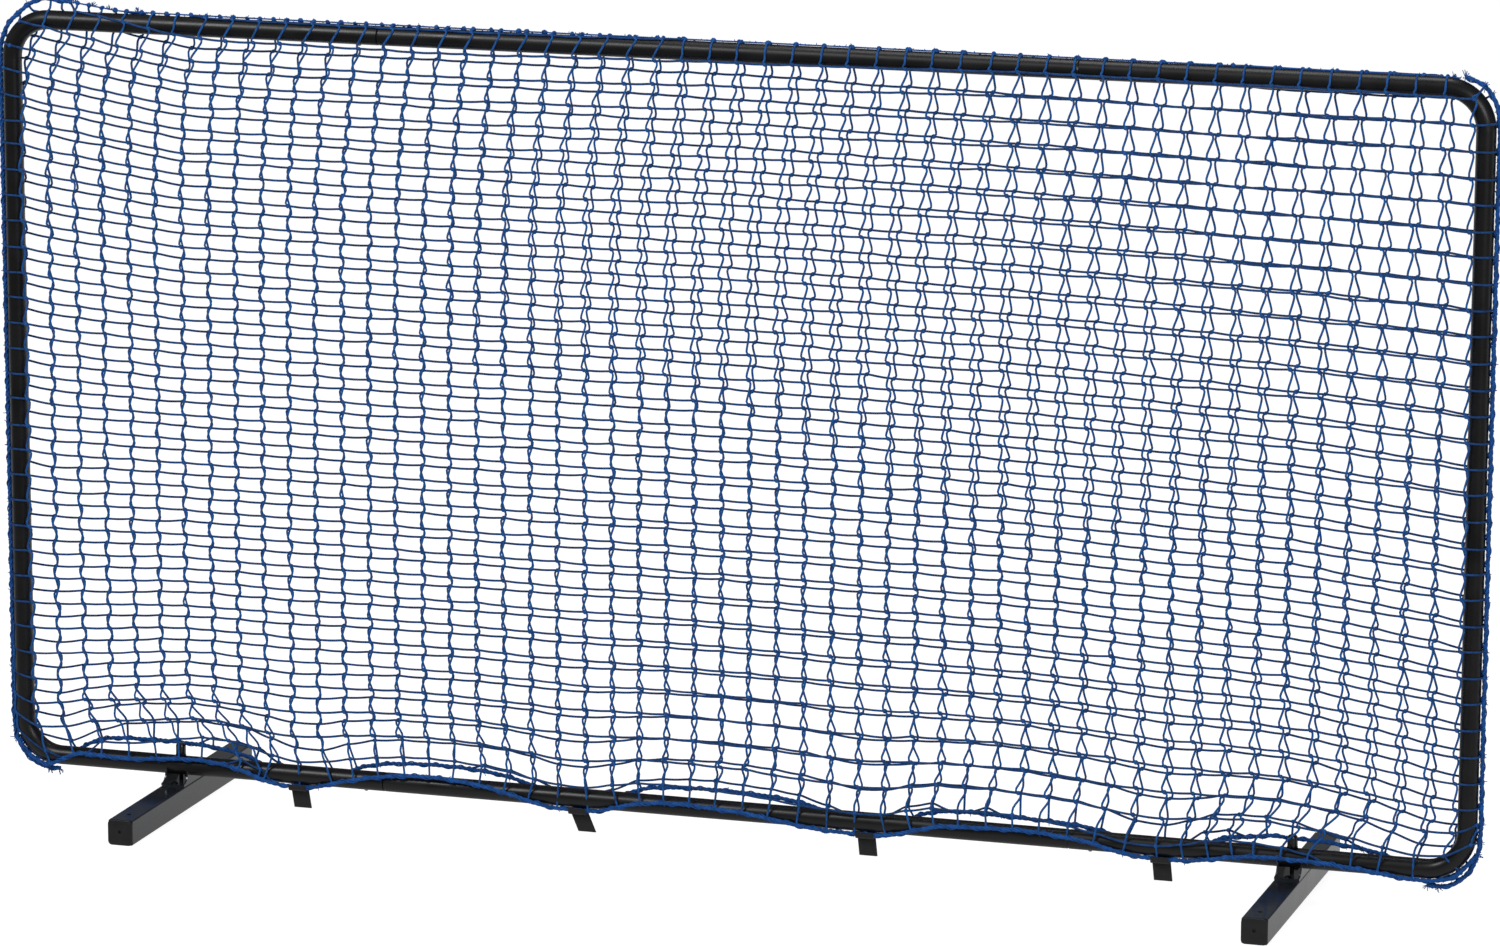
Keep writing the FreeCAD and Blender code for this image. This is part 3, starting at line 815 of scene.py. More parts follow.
@dataclass(frozen=True)
class Lay:
    """How a rope is laid up from its strands."""

    radius: float
    strands: int = 3
    pitch: float = 0.034
    spacing: float = 0.0045
    strand_share: float = 0.52  # a strand's radius, of the rope's
    uneven: float = 0.08  # how much a strand's distance from the middle wanders


@dataclass
class LaidRope:
    """A rope of twisted strands along a smooth route."""

    name: str
    route: Sequence[Sequence[float]]
    lay: Lay
    steps: int = 8  # parts of the curve between two control points
    line: list[Vector] = field(default_factory=list)

    def build(self) -> bpy.types.Object:
        """Models the strands round the route's curve.

        Returns:
            The rope as one mesh.
        """
        self.line = spline_points(self.route, self.steps)
        points = even_points(self.line, self.lay.spacing)
        axes = frames_along(points)
        strand = self.lay.radius * self.lay.strand_share
        orbit = self.lay.radius - strand
        rng = np.random.default_rng(len(self.name))
        routes = []
        for number in range(self.lay.strands):
            route = []
            for i, (point, (_, a, b)) in enumerate(zip(points, axes)):
                turn = math.tau * (i * self.lay.spacing / self.lay.pitch + number / self.lay.strands)
                reach = orbit * (1 + self.lay.uneven * rng.standard_normal())
                route.append(point + (a * math.cos(turn) + b * math.sin(turn)) * reach)
            routes.append(route)
        curve = spline_object(self.name, routes, strand, 1, 1)
        return meshed(curve)


@dataclass
class EdgeRopes:
    """The ropes and cords that edge the net: two hems, two side ropes and the cord on the top fold."""

    straps: tuple[float, ...] = (-0.8805, -0.2935, 0.2935, 0.8805)
    start: float = 1.424
    grip: float = 0.028
    low: float = -0.02212
    reach: float = 0.02505
    drift: float = 0.15
    side_out: float = 0.00565
    lead: float = 0.072
    fold_rest: float = 0.02135
    hem_lay: Lay = Lay(0.0046)
    side_lay: Lay = Lay(0.0050, pitch=0.038)
    fold_lay: Lay = Lay(0.0020, pitch=0.014, spacing=0.003)
    lashing_pitch: float = 0.052
    lashing_radius: float = 0.0014
    line_step: float = 0.004
    fold_start: float = 0.0006  # of the fold cord, to the right of the left rope's end
    fold_run: float = 0.13  # from there to where the fold cord meets the rail
    fold_shares: tuple[float, ...] = (0.30, 0.64)  # of that run
    fold_curve: float = 1.15
    tie_cord: float = 0.0024
    tie_turn: float = 3.1
    tie_tilt: float = 0.6
    tie_sizes: tuple[float, float] = (1.0, 1.35)
    tail_chance: float = 0.6
    tail_spread: float = 0.45
    tail_reach: tuple[float, float] = (0.002, 0.0055)
    fibre_spacing: float = 0.011
    fibre_radius: float = 0.0009
    fibre_bend: float = 0.0022
    fibre_reach: float = 0.0016
    fibre_ends: tuple[float, float] = (0.6, 0.7)  # of the rope's radius, so that both ends are hidden
    tuft_fibres: int = 9
    tuft_spread: float = 0.7
    tuft_reach: tuple[float, float] = (0.004, 0.010)
    lines: dict[str, list[Vector]] = field(default_factory=dict)
    ties: dict[str, list[Vector]] = field(default_factory=dict)

    # Between straps, left to right: share of the span, millimetres above the rail's centre
    front_spans: tuple = (
        ((0.04, -13.5), (0.08, -1), (0.12, 10), (0.17, 13.5), (0.26, 10), (0.38, 9.5), (0.50, 17),
         (0.62, 19), (0.72, 14), (0.79, 5), (0.85, -7), (0.90, -17)),
        ((0.10, -13), (0.16, -1.5), (0.24, 9), (0.36, 20), (0.46, 24), (0.58, 20.5), (0.68, 13),
         (0.77, 2), (0.84, -10), (0.90, -19)),
        ((0.085, -18), (0.13, -9), (0.19, 2), (0.27, 9.5), (0.375, 11.5), (0.49, 7), (0.58, 4.5),
         (0.665, -2), (0.75, -11), (0.845, -19.5)),
        ((0.085, -18.5), (0.135, -10), (0.195, 1), (0.26, 10.5), (0.355, 12), (0.47, 15), (0.59, 14.5),
         (0.67, 9), (0.745, 5.5), (0.81, -3), (0.87, -14)),
        ((0.128, -17.5), (0.22, -7.5), (0.30, 0.5), (0.39, 3.4), (0.49, 1.6), (0.58, 1.2),
         (0.67, -4), (0.75, -7.5), (0.82, -14), (0.90, -20.5)),
    )
    back_spans: tuple = (
        ((0.04, -14), (0.075, -3), (0.11, 9), (0.15, 22), (0.19, 33), (0.25, 39.5), (0.36, 41.5),
         (0.48, 42), (0.60, 39), (0.70, 33), (0.77, 24), (0.82, 13), (0.865, 1), (0.905, -12)),
        ((0.09, -14.5), (0.125, -3), (0.165, 9), (0.215, 21), (0.29, 31), (0.39, 36), (0.50, 37.5),
         (0.61, 35), (0.71, 28.5), (0.785, 18), (0.84, 6), (0.88, -5), (0.915, -15)),
        ((0.088, -14.5), (0.12, -3), (0.15, 9), (0.195, 20.5), (0.255, 28.5), (0.36, 32.5), (0.47, 33.8),
         (0.58, 32), (0.69, 28), (0.78, 20), (0.84, 9), (0.88, -3), (0.915, -14)),
        ((0.085, -14.5), (0.115, -3), (0.145, 9), (0.18, 19), (0.23, 26.5), (0.30, 31), (0.39, 30.2),
         (0.49, 28), (0.58, 26.5), (0.68, 24), (0.765, 18), (0.83, 8.5), (0.875, -3), (0.915, -14)),
        ((0.095, -14.5), (0.13, -3), (0.16, 8), (0.20, 19), (0.25, 26), (0.30, 26.5), (0.34, 31),
         (0.385, 34.5), (0.44, 32.5), (0.50, 31), (0.56, 31.2), (0.63, 26.5), (0.70, 23), (0.77, 16),
         (0.83, 6.5), (0.88, -4), (0.935, -14)),
    )
    # Round the corners: degrees past the post, millimetres outside the tube
    low_left: tuple = ((15, 10.7), (38.2, 16.2), (56.7, 17.8), (73.3, 14.6), (86.8, 9.1))
    low_right: tuple = ((14, 10.1), (37.9, 17.0), (57.4, 21.7), (74.2, 20.4), (87.9, 12.0))
    high_left: tuple = ((13, 9.7), (36.9, 13.0), (61.1, 14.9), (83.0, 26.9), (97.7, 22.0), (112.0, 28.1))
    high_right: tuple = ((14, 10.1), (38.5, 15.4), (56.9, 12.8), (69.8, 7.4))
    fold_ends: tuple = ((82.0, 3.3), (74.0, 2.3))
    # Where cut ends stand up in a tuft, as shares of the rope's length
    tufts: dict[str, tuple[float, ...]] = field(
        default_factory=lambda: {
            "side_rope_left": (0.0, 0.012, 0.955, 0.985, 1.0),
            "side_rope_right": (0.0, 0.012, 0.925, 0.945, 0.975, 1.0),
            "fold_cord": (0.004, 0.018, 0.03, 0.052, 0.995),
            "hem_front": (0.0, 1.0),
            "hem_back": (0.0, 1.0),
        }
    )

    # A hem's end, which runs on round the corner beside the side rope: degrees past the post,
    # millimetres outside the tube and millimetres off the frame's middle plane
    hem_end: tuple = ((26, 8.0, 9.5), (48, 8.5, 9.5), (68, 7.5, 10.5))

    def hem_route(self, side: int) -> list[Point]:
        """Gives a hem's control points.

        Args:
            side: -1 for the front hem, 1 for the back one.

        Returns:
            The points from left to right.
        """
        spans = self.front_spans if side < 0 else self.back_spans
        stops = [-self.start, *self.straps, self.start]
        places = []
        for left, right, span in zip(stops, stops[1:], spans):
            if left in self.straps:
                places.append((left + self.grip, self.low))
            places += [(left + share * (right - left), height / 1000) for share, height in span]
            if right in self.straps:
                places.append((right - self.grip, self.low))
        middle = []
        for x, z in places:
            out = math.sqrt(self.reach**2 - z**2) if z < 0 else self.reach - self.drift * z
            middle.append((x, side * out, SCREEN.low_z + z))
        ends = []
        for hand in (-1, 1):
            spots = [(SCREEN.corner(hand, -1, degrees, out), off) for degrees, out, off in self.hem_end]
            ends.append([(x, side * off / 1000, z) for (x, _, z), off in spots])
        return ends[0] + middle + ends[1][::-1]

    def side_route(self, side: int) -> list[Point]:
        """Gives a side rope's control points.

        Args:
            side: -1 for the left rope, 1 for the right one.

        Returns:
            The points from the bottom corner to the top one.
        """
        low, high = (self.low_left, self.high_left) if side < 0 else (self.low_right, self.high_right)
        fold_x = side * (SCREEN.post_x + SCREEN.tube + self.side_out)
        route = [SCREEN.corner(side, -1, *turn) for turn in reversed(low)]
        route.append((fold_x, 0.0, SCREEN.low_z + SCREEN.bend + self.lead))
        route.append((fold_x, 0.0, SCREEN.high_z - SCREEN.bend - self.lead))
        return route + [SCREEN.corner(side, 1, *turn) for turn in high]

    def fold_route(self) -> list[Point]:
        """Gives the fold cord's control points.

        Returns:
            The points from the left rope's end to the right corner.
        """
        x, _, z = SCREEN.corner(-1, 1, *self.high_left[-1])
        start = x + self.fold_start
        top = SCREEN.high_z + self.fold_rest
        route = [(start, 0.0, z)]
        for share in self.fold_shares:
            fall = (z - top) * (1 - share) ** self.fold_curve
            route.append((start + share * self.fold_run, 0.0, top + fall))
        route.append((start + self.fold_run, 0.0, top))
        near, last = (SCREEN.corner(1, 1, *turn) for turn in self.fold_ends)
        return route + [(near[0], 0.0, top), last]

    def build(self, material: bpy.types.Material) -> None:
        """Models the five ropes and keeps their centre lines for the net.

        Args:
            material: The rope's fibre.
        """
        wanted = (
            ("hem_rope_front", self.hem_route(-1), self.hem_lay, "hem_front"),
            ("hem_rope_back", self.hem_route(1), self.hem_lay, "hem_back"),
            ("edge_rope_left", self.side_route(-1), self.side_lay, "side_rope_left"),
            ("edge_rope_right", self.side_route(1), self.side_lay, "side_rope_right"),
            ("top_fold_cord", self.fold_route(), self.fold_lay, "fold_cord"),
        )
        for name, route, lay, node in wanted:
            rope = LaidRope(name, route, lay)
            piece = rope.build()
            self.lines[node] = even_points(rope.line, self.line_step)
            self.ties[node] = []
            seat(piece, material, [node])

    def fibres(self, node: str, thick: float, rng: np.random.Generator) -> list[list[Vector]]:
        """Draws the fibres that stand out of a rope, with thicker tufts where it is cut or tied.

        Args:
            node: The rope's plain solid.
            thick: The rope's radius.
            rng: Where the scatter comes from.

        Returns:
            The fibres' control points.
        """
        line = self.lines[node]
        tails = []
        for point in even_points(line, self.fibre_spacing):
            way = Vector(rng.normal(0, 1, 3)).normalized()
            bent = Vector(rng.normal(0, self.fibre_bend, 3))
            tip = point + way * (thick + rng.uniform(0.0, self.fibre_reach)) + bent * 0.4
            root, end = (point + way * thick * share for share in self.fibre_ends)
            tails.append([root, tip, end + bent])
        for share in self.tufts.get(node, ()):
            point = line[round(share * (len(line) - 1))]
            _, out = SCREEN.stand_off(point.x, point.z)
            for _ in range(self.tuft_fibres):
                way = Vector((out.x, 0.0, out.y)) + Vector(rng.normal(0, self.tuft_spread, 3))
                tip = point + way.normalized() * (thick + rng.uniform(*self.tuft_reach))
                tails.append([point, point.lerp(tip, 0.6) + Vector(rng.normal(0, 0.001, 3)), tip])
        return tails

    def lashing(self, node: str, thick: float) -> list[Vector]:
        """Winds the net's own end cord round a rope.

        Args:
            node: The rope's plain solid.
            thick: The rope's radius.

        Returns:
            The end cord's control points.
        """
        spacing = 0.006
        points = even_points(self.lines[node], spacing)
        route = []
        for i, (point, (_, a, b)) in enumerate(zip(points, frames_along(points))):
            turn = math.tau * i * spacing / self.lashing_pitch
            reach = thick + self.lashing_radius / 2
            route.append(point + (a * math.cos(turn) + b * math.sin(turn)) * reach)
        return route

    def frayed(self, node: str, material: bpy.types.Material) -> None:
        """Adds a rope's lashing, the knots that tie the net to it, their cut tails and its loose fibres.

        Args:
            node: The rope's plain solid.
            material: The rope's fibre.
        """
        rng = np.random.default_rng(len(node) + 40)
        lays = {"hem": self.hem_lay, "side": self.side_lay, "fold": self.fold_lay}
        thick = lays[node.split("_")[0]].radius
        tails, places = [], []
        for tie in self.ties[node]:
            round_y = Matrix.Rotation(rng.uniform(0, self.tie_turn), 4, "Y")
            turn = round_y @ Matrix.Rotation(rng.uniform(-self.tie_tilt, self.tie_tilt), 4, "X")
            size = Matrix.Scale(rng.uniform(*self.tie_sizes), 4)
            places.append(Matrix.Translation(tie) @ turn @ size)
            if rng.random() < self.tail_chance:
                _, way = SCREEN.stand_off(tie.x, tie.z)
                out = Vector((way.x, 0.0, way.y)) + Vector(rng.normal(0, self.tail_spread, 3))
                out = out.normalized() * (thick + rng.uniform(*self.tail_reach))
                tails.append([tie, tie + out * 0.6 + Vector(rng.normal(0, 0.0008, 3)), tie + out])
        tails += self.fibres(node, thick, rng)
        name = node.replace("side_rope", "edge_rope").replace("hem", "hem_rope")
        curve = spline_object(f"{name}_fray", tails, self.fibre_radius, 2, 0, thinning)
        model = NettingKnot(self.tie_cord).build()
        parts = [meshed(curve), scattered("knots", model, places)]
        bpy.data.objects.remove(model)
        if node != "fold_cord":
            wound = spline_object("lashing", [self.lashing(node, thick)], self.lashing_radius, 2, 0)
            parts.append(meshed(wound))
        seat(joined(f"{name}_fray", parts), material)


# The net


@dataclass(frozen=True)
class Hang:
    """How one net layer hangs, as read along the screen and down it.

    Rows are numbered down from a row about a fifth of the way down the net, and each has the same
    fall and rise along the screen. Columns are even, but for a slow sway down the net. Lengths in
    the tables are millimetres.
    """

    first_column: float
    column_pitch: float
    row_heights: tuple[int, ...]  # of row 0, at the stations
    row_pitches: tuple[float, ...]  # at the stations
    sway: tuple[tuple[int, ...], ...]  # a height, then five shifts from left to right
    lifts: tuple[int, ...]  # of the row lift_rows above row 0, at the stations
    stations: tuple[int, ...] = (-1470, -1400, -1120, -550, 0, 570, 1140, 1420, 1470)
    upper_share: float = 0.955  # rows above row 0 are this much closer
    slack_height: float = 0.22  # below this the rows of the two end bays bunch up
    lift_rows: int = 6
    sway_inset: float = 0.08  # of the outermost shifts from the posts
    lean_height: float = 0.105  # above the hem, where the uprights begin to slant
    lean_curve: float = 1.2
    # Slant of the uprights at the hem: a place along the screen, then the shift there
    lean: tuple[tuple[int, int], ...] = (
        (-1470, 20), (-1390, 43), (-1220, 62), (-1050, 60), (-950, 28), (-750, 18),
        (-450, 14), (-290, 2), (0, -15), (120, -16), (290, -6), (450, -26),
        (800, -32), (900, -22), (1000, -45), (1100, -66), (1300, -68), (1470, -30),
    )
    # Where the end bays begin, and how much the slack rows bunch up before and inside them
    bays: tuple[float, float] = (0.85, 1.05)
    bunching: tuple[float, float] = (0.05, 0.16)

    def height(self, x: float, row: int) -> float:
        """Gives the height of a row at a place along the screen.

        Args:
            x: The place, in metres.
            row: The row's number, below 0 above row 0.

        Returns:
            The height above the floor, in metres.
        """
        top = float(np.interp(x * 1000, self.stations, self.row_heights))
        pitch = float(np.interp(x * 1000, self.stations, self.row_pitches))
        level = (top - row * pitch * (self.upper_share if row < 0 else 1.0)) / 1000
        if row < 0:
            level -= row / self.lift_rows * float(np.interp(x * 1000, self.stations, self.lifts)) / 1000
        below = self.slack_height - level
        bunched = float(np.interp(abs(x), self.bays, self.bunching))
        return level + bunched * below if below > 0 else level

    def shift(self, x: float, z: float, over_hem: float) -> float:
        """Gives the sideways shift of a column at a height, in metres.

        Args:
            x: The column's even place.
            z: The height above the floor.
            over_hem: The height above this layer's hem.

        Returns:
            The shift to the right.
        """
        reach = SCREEN.post_x - self.sway_inset
        places = np.linspace(-reach, reach, len(self.sway[0]) - 1)
        rows = [float(np.interp(x, places, level[1:])) for level in self.sway]
        heights = [level[0] / 1000 for level in self.sway]
        slant = float(np.interp(x * 1000, *zip(*self.lean)))
        share = max(0.0, 1.0 - max(0.0, over_hem) / self.lean_height)
        return (float(np.interp(z, heights, rows)) + slant * share**self.lean_curve) / 1000


FRONT_HANG = Hang(
    first_column=-1.4956,
    column_pitch=0.05557,
    row_heights=(1333, 1319, 1285, 1278, 1284, 1284, 1274, 1265, 1260),
    lifts=(-9, -9, -7, -3, -2, 6, 8, 8, 8),
    row_pitches=(51.6, 51.0, 48.1, 47.7, 48.2, 48.4, 48.9, 49.9, 50.0),
    sway=(
        (330, -1, -3, -1, -7, -1),
        (560, -5, -4, -1, -1, 2),
        (800, -3, -2, 0, -3, 5),
        (1030, -2, -1, -5, -4, 2),
        (1250, -8, 4, -3, 3, -1),
        (1430, 2, 18, 15, 10, -2),
        (1500, 17, 30, 22, 15, -2),
        (1555, 46, 40, 27, 18, 0),
        (1610, 54, 52, 38, 28, 8),
    ),
)
BACK_HANG = Hang(
    first_column=-1.5153,
    column_pitch=0.05608,
    row_heights=(1352, 1340, 1305, 1299, 1297, 1286, 1268, 1260, 1255),
    lifts=(-12, -12, -10, 2, 7, 8, 9, 9, 9),
    row_pitches=(51.8, 51.3, 48.4, 47.8, 47.4, 47.2, 47.6, 49.4, 49.6),
    sway=(
        (330, -1, -6, -6, -7, -2),
        (560, -5, -7, -8, -12, -6),
        (800, -3, -5, -8, 1, -9),
        (1030, -2, -3, 3, 2, -3),
        (1250, -1, 1, 10, 5, -2),
        (1430, 3, 16, 25, 12, -1),
        (1500, 12, 24, 30, 17, 0),
        (1555, 34, 34, 34, 22, 2),
        (1610, 44, 40, 36, 26, 6),
    ),
)


@dataclass
class NetLayer:
    """One layer of square-hung knotted net, which folds round the frame's tubes to the edge ropes."""

    side: int
    ropes: EdgeRopes
    hang: Hang
    cord: float = 0.00225
    columns: int = 55
    first_row: int = -7
    rows: int = 35
    jog: float = 0.0046
    # An upright's control points past a knot: jogs to the side, then shares of the way down
    step: tuple[tuple[float, float], ...] = ((-1.15, -0.07), (1.15, 0.07), (0.62, 0.34), (-0.5, 0.68))
    step_sizes: tuple[float, float] = (0.8, 1.25)
    slack_top: float = 0.45  # below this height the steps grow
    slack_growth: float = 0.35
    crossing_knot: float = 0.004  # half the straight stretch of a row at each knot
    crossing_sag: float = 0.0012
    last_column: float = 1.37  # a row that ends past this goes round the post
    run_on: float = 0.6  # of a column's width, by which other rows go on towards the hem or the fold
    edge_step: float = 0.009
    knot_turn: float = 0.5
    knot_sizes: tuple[float, float] = (0.9, 1.15)
    stray: float = 0.0009  # how far a knot lies from its even place
    follow: float = 0.10  # height over which the rows stop following the hem's rise
    fold_room: float = 0.027  # a knot further out than this lies past the fold
    hem_room: float = 0.012  # between the lowest knots and the hem
    seed: int = 5
    grid: np.ndarray = field(default_factory=lambda: np.zeros((0, 0, 2)))

    @property
    def hem(self) -> str:
        """The hem's plain solid."""
        return "hem_front" if self.side < 0 else "hem_back"

    def hem_height(self, x: float) -> float:
        """Gives the hem's height on the flat net.

        Args:
            x: The place along the screen.

        Returns:
            The height above the floor, in metres.
        """
        line = self.ropes.lines[self.hem]
        xs = [p.x for p in line]
        height = float(np.interp(x, xs, [p.z for p in line])) - SCREEN.low_z
        if height < 0:
            height = -SCREEN.lay * math.asin(min(1.0, -height / self.ropes.reach))
        return SCREEN.low_z + height

    def place_knots(self) -> None:
        """Works out where each knot of the layer lies on the flat net, by column and row."""
        rng = np.random.default_rng(self.seed)
        self.grid = np.zeros((self.columns, self.rows, 2))
        mean_hem = SCREEN.low_z + self.hem_room
        for i in range(self.columns):
            even = self.hang.first_column + i * self.hang.column_pitch
            hem = self.hem_height(even)
            for j in range(self.rows):
                z = self.hang.height(even, j + self.first_row)
                z += (hem - mean_hem) * math.exp(-max(0.0, z - mean_hem) / self.follow)
                x = even + self.hang.shift(even, z, z - hem)
                self.grid[i, j, 0] = x + self.stray * rng.standard_normal()
                self.grid[i, j, 1] = z + self.stray * rng.standard_normal()

    def inside(self, x: float, z: float) -> bool:
        """Says whether a knot lies on the net, clear of the folds and above the hem."""
        out, _ = SCREEN.stand_off(x, z)
        return out < self.fold_room and z > self.hem_height(x) + self.hem_room

    def runs(self, line: np.ndarray) -> list[list[tuple[float, float]]]:
        """Splits a row or column of knots wherever it leaves the net.

        Args:
            line: The knots' places.

        Returns:
            The stretches that lie on the net.
        """
        made: list[list[tuple[float, float]]] = [[]]
        for x, z in line:
            if self.inside(x, z):
                made[-1].append((x, z))
            elif made[-1]:
                made.append([])
        return [run for run in made if run]

    def to_edge(self, x: float, z: float, names: Sequence[str], ahead: float = 0.0) -> list[Vector]:
        """Leads a cord from a knot of the flat net to an edge rope, round the tube.

        Args:
            x: The last knot's place along the screen.
            z: Its height on the flat net.
            names: The ropes that it may be tied to.
            ahead: How far along the screen the cord still runs on.

        Returns:
            The points past the knot, of which the last lies on the rope.
        """
        knot = SCREEN.wrap(x, z, self.side)
        aim = knot + Vector((ahead, 0, 0))
        found = [(point, name) for name in names for point in self.ropes.lines[name]]
        best, tied = min(found, key=lambda pair: (pair[0] - aim).length)
        self.ropes.ties[tied].append(best)
        if tied.startswith("hem"):
            return [(knot + best) / 2, best]
        _, way = SCREEN.stand_off(best.x, best.z)
        flat = Vector((best.x, best.z)) + way * (SCREEN.lay * (math.pi / 2 - 1))
        start = Vector((x, z))
        steps = max(2, round((flat - start).length / self.edge_step))
        points = [start.lerp(flat, k / steps) for k in range(1, steps)]
        return [SCREEN.wrap(p.x, p.y, self.side) for p in points] + [best]

    def uprights(self) -> list[list[Vector]]:
        """Gives the routes of the cords that run from the top fold to the hem.

        Returns:
            The control points of each cord.
        """
        rng = np.random.default_rng(self.seed + 7)
        sides = ("side_rope_left", "side_rope_right")
        routes = []
        for column in self.grid:
            kept = max(self.runs(column), key=len, default=[])
            if len(kept) < 2:
                continue
            route = []
            for (x, z), (ahead, below) in zip(kept, kept[1:]):
                # The cord steps over at each knot and drifts back below it, more so in the slack lower part
                loose = 1.0 + self.slack_growth * max(0.0, 1.0 - z / self.slack_top)
                jog = -self.side * self.jog * loose * rng.uniform(*self.step_sizes)
                for across, down in self.step:
                    drift = (ahead - x) * max(0.0, down)
                    route.append(SCREEN.wrap(x + drift + jog * across, z - down * (z - below), self.side))
            route.append(SCREEN.wrap(*kept[-1], self.side))
            first = self.to_edge(*kept[0], ("fold_cord", *sides))
            routes.append(first[::-1] + route + self.to_edge(*kept[-1], (self.hem, *sides)))
        return routes

    def crossings(self) -> list[list[Vector]]:
        """Gives the routes of the cords that run from one side rope to the other.

        Returns:
            The control points of each cord.
        """
        run_on = self.hang.column_pitch * self.run_on
        routes = []
        for j in range(self.rows):
            for kept in self.runs(self.grid[:, j]):
                route: list[Vector] = []
                for (x, z), (ahead, level) in zip(kept, kept[1:] + [kept[-1]]):
                    route.append(SCREEN.wrap(x - self.crossing_knot, z, self.side))
                    route.append(SCREEN.wrap(x + self.crossing_knot, z, self.side))
                    if ahead > x:
                        middle = (z + level) / 2 - self.crossing_sag
                        route.append(SCREEN.wrap((x + ahead) / 2, middle, self.side))
                ends = []
                outer = ((kept[0], "side_rope_left", -1), (kept[-1], "side_rope_right", 1))
                for (x, z), name, way in outer:
                    if way * x > self.last_column:
                        ends.append(self.to_edge(x, z, (name,)))
                    else:
                        nearest = self.hem if z < SCREEN.high_z / 2 else "fold_cord"
                        ends.append(self.to_edge(x, z, (nearest,), way * run_on))
                routes.append(ends[0][::-1] + route + ends[1])
        return routes

    def build(
        self, upright: bpy.types.Material, crossing: bpy.types.Material, knot: bpy.types.Material
    ) -> None:
        """Models the layer's cords and knots.

        Args:
            upright: The finish of the cords that run up and down.
            crossing: The finish of the cords that run along the screen.
            knot: The finish of the knots.
        """
        where = "front" if self.side < 0 else "back"
        node = f"net_{where}"
        self.place_knots()
        cords = (("uprights", self.uprights(), upright), ("crossings", self.crossings(), crossing))
        for kind, routes, finish in cords:
            piece = meshed(spline_object(f"{node}_{kind}", routes, self.cord, 2, 1))
            seat(piece, finish, [node])
        rng = np.random.default_rng(self.seed + 1)
        model = NettingKnot(self.cord).build()
        places = []
        for column in self.grid:
            for x, z in column:
                if self.inside(x, z):
                    spot = SCREEN.wrap(x, z, self.side)
                    out, way = SCREEN.stand_off(x, z)
                    turn = Matrix.Rotation(rng.uniform(-self.knot_turn, self.knot_turn), 4, "Y")
                    if out > 0:
                        fold = out / SCREEN.lay * (-self.side)
                        turn = Matrix.Rotation(-fold, 4, Vector((way.y, 0, -way.x))) @ turn
                    size = Matrix.Scale(rng.uniform(*self.knot_sizes), 4)
                    places.append(Matrix.Translation(spot) @ turn @ size)
        piece = scattered(f"{node}_knots", model, places)
        bpy.data.objects.remove(model)
        seat(piece, knot, [node])


# Straps


@dataclass
class TieStrap:
    """A band that cradles both hems under the rail, its two ends joined into a hanging tail."""

    number: int
    x: float
    lean: float  # of the tail's end along the screen
    width: float = 0.036
    thickness: float = 0.002
    floor: float = -0.02902
    shoulder: float = 0.003
    tail: float = 0.038
    columns: int = 5
    tail_rows: int = 5
    tail_spread: float = 0.55  # of the thickness, from the middle to each half of the tail
    tail_closing: float = 0.1
    edge: float = 0.0005

    def skin(self, mesh: bmesh.types.BMesh, profile: Sequence[Point]) -> None:
        """Lays a strip of faces across the band, as wide as the webbing.

        Args:
            mesh: The band's mesh.
            profile: The middle of each row, as (x, y, z).
        """
        rows = []
        for x, y, z in profile:
            places = [x + self.width * (c / (self.columns - 1) - 0.5) for c in range(self.columns)]
            rows.append([mesh.verts.new((across, y, z)) for across in places])
        for a, b in zip(rows, rows[1:]):
            for c in range(self.columns - 1):
                mesh.faces.new((a[c], a[c + 1], b[c + 1], b[c]))

    def build(self, material: bpy.types.Material) -> None:
        """Models the band as a folded strip with thickness.

        Args:
            material: The webbing.
        """
        node = f"tie_strap_{self.number}"
        low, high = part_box(node)
        half = (high.y - low.y) / 2 - self.thickness / 2
        bend = SCREEN.low_z + self.floor + self.shoulder
        under = bend - self.shoulder
        mesh = bmesh.new()
        # Up one side of the rail, under it and up the other side
        cradle = ((-half, high.z), (-half, bend), (-half + self.shoulder, under))
        back = [(-y, z) for y, z in reversed(cradle)]
        self.skin(mesh, [(self.x, y, z) for y, z in (*cradle, *back)])
        for way in (-1, 1):
            drop = []
            for share in np.linspace(0, 1, self.tail_rows).tolist():
                y = way * self.thickness * self.tail_spread * (1 - self.tail_closing * share)
                drop.append((self.x + self.lean * share, y, under - self.tail * share))
            self.skin(mesh, drop)
        data = bpy.data.meshes.new(f"webbing_tie_{self.number}")
        mesh.to_mesh(data)
        mesh.free()
        band = placed(data.name, data)
        solid = band.modifiers.new("thickness", "SOLIDIFY")
        solid.thickness = self.thickness
        solid.offset = 0.0
        bevel = band.modifiers.new("edges", "BEVEL")
        bevel.width = self.edge
        bevel.segments = 2
        activate(band)
        for modifier in list(band.modifiers):
            bpy.ops.object.modifier_apply(modifier=modifier.name)
        tidy_mesh(band)
        smooth(band, 45)
        seat(band, material, [node])


# Plugs of the feet


class Part(Enum):
    """What of a block is selected before it is shaped."""

    EDGE = "EDGE"
    FACE = "FACE"


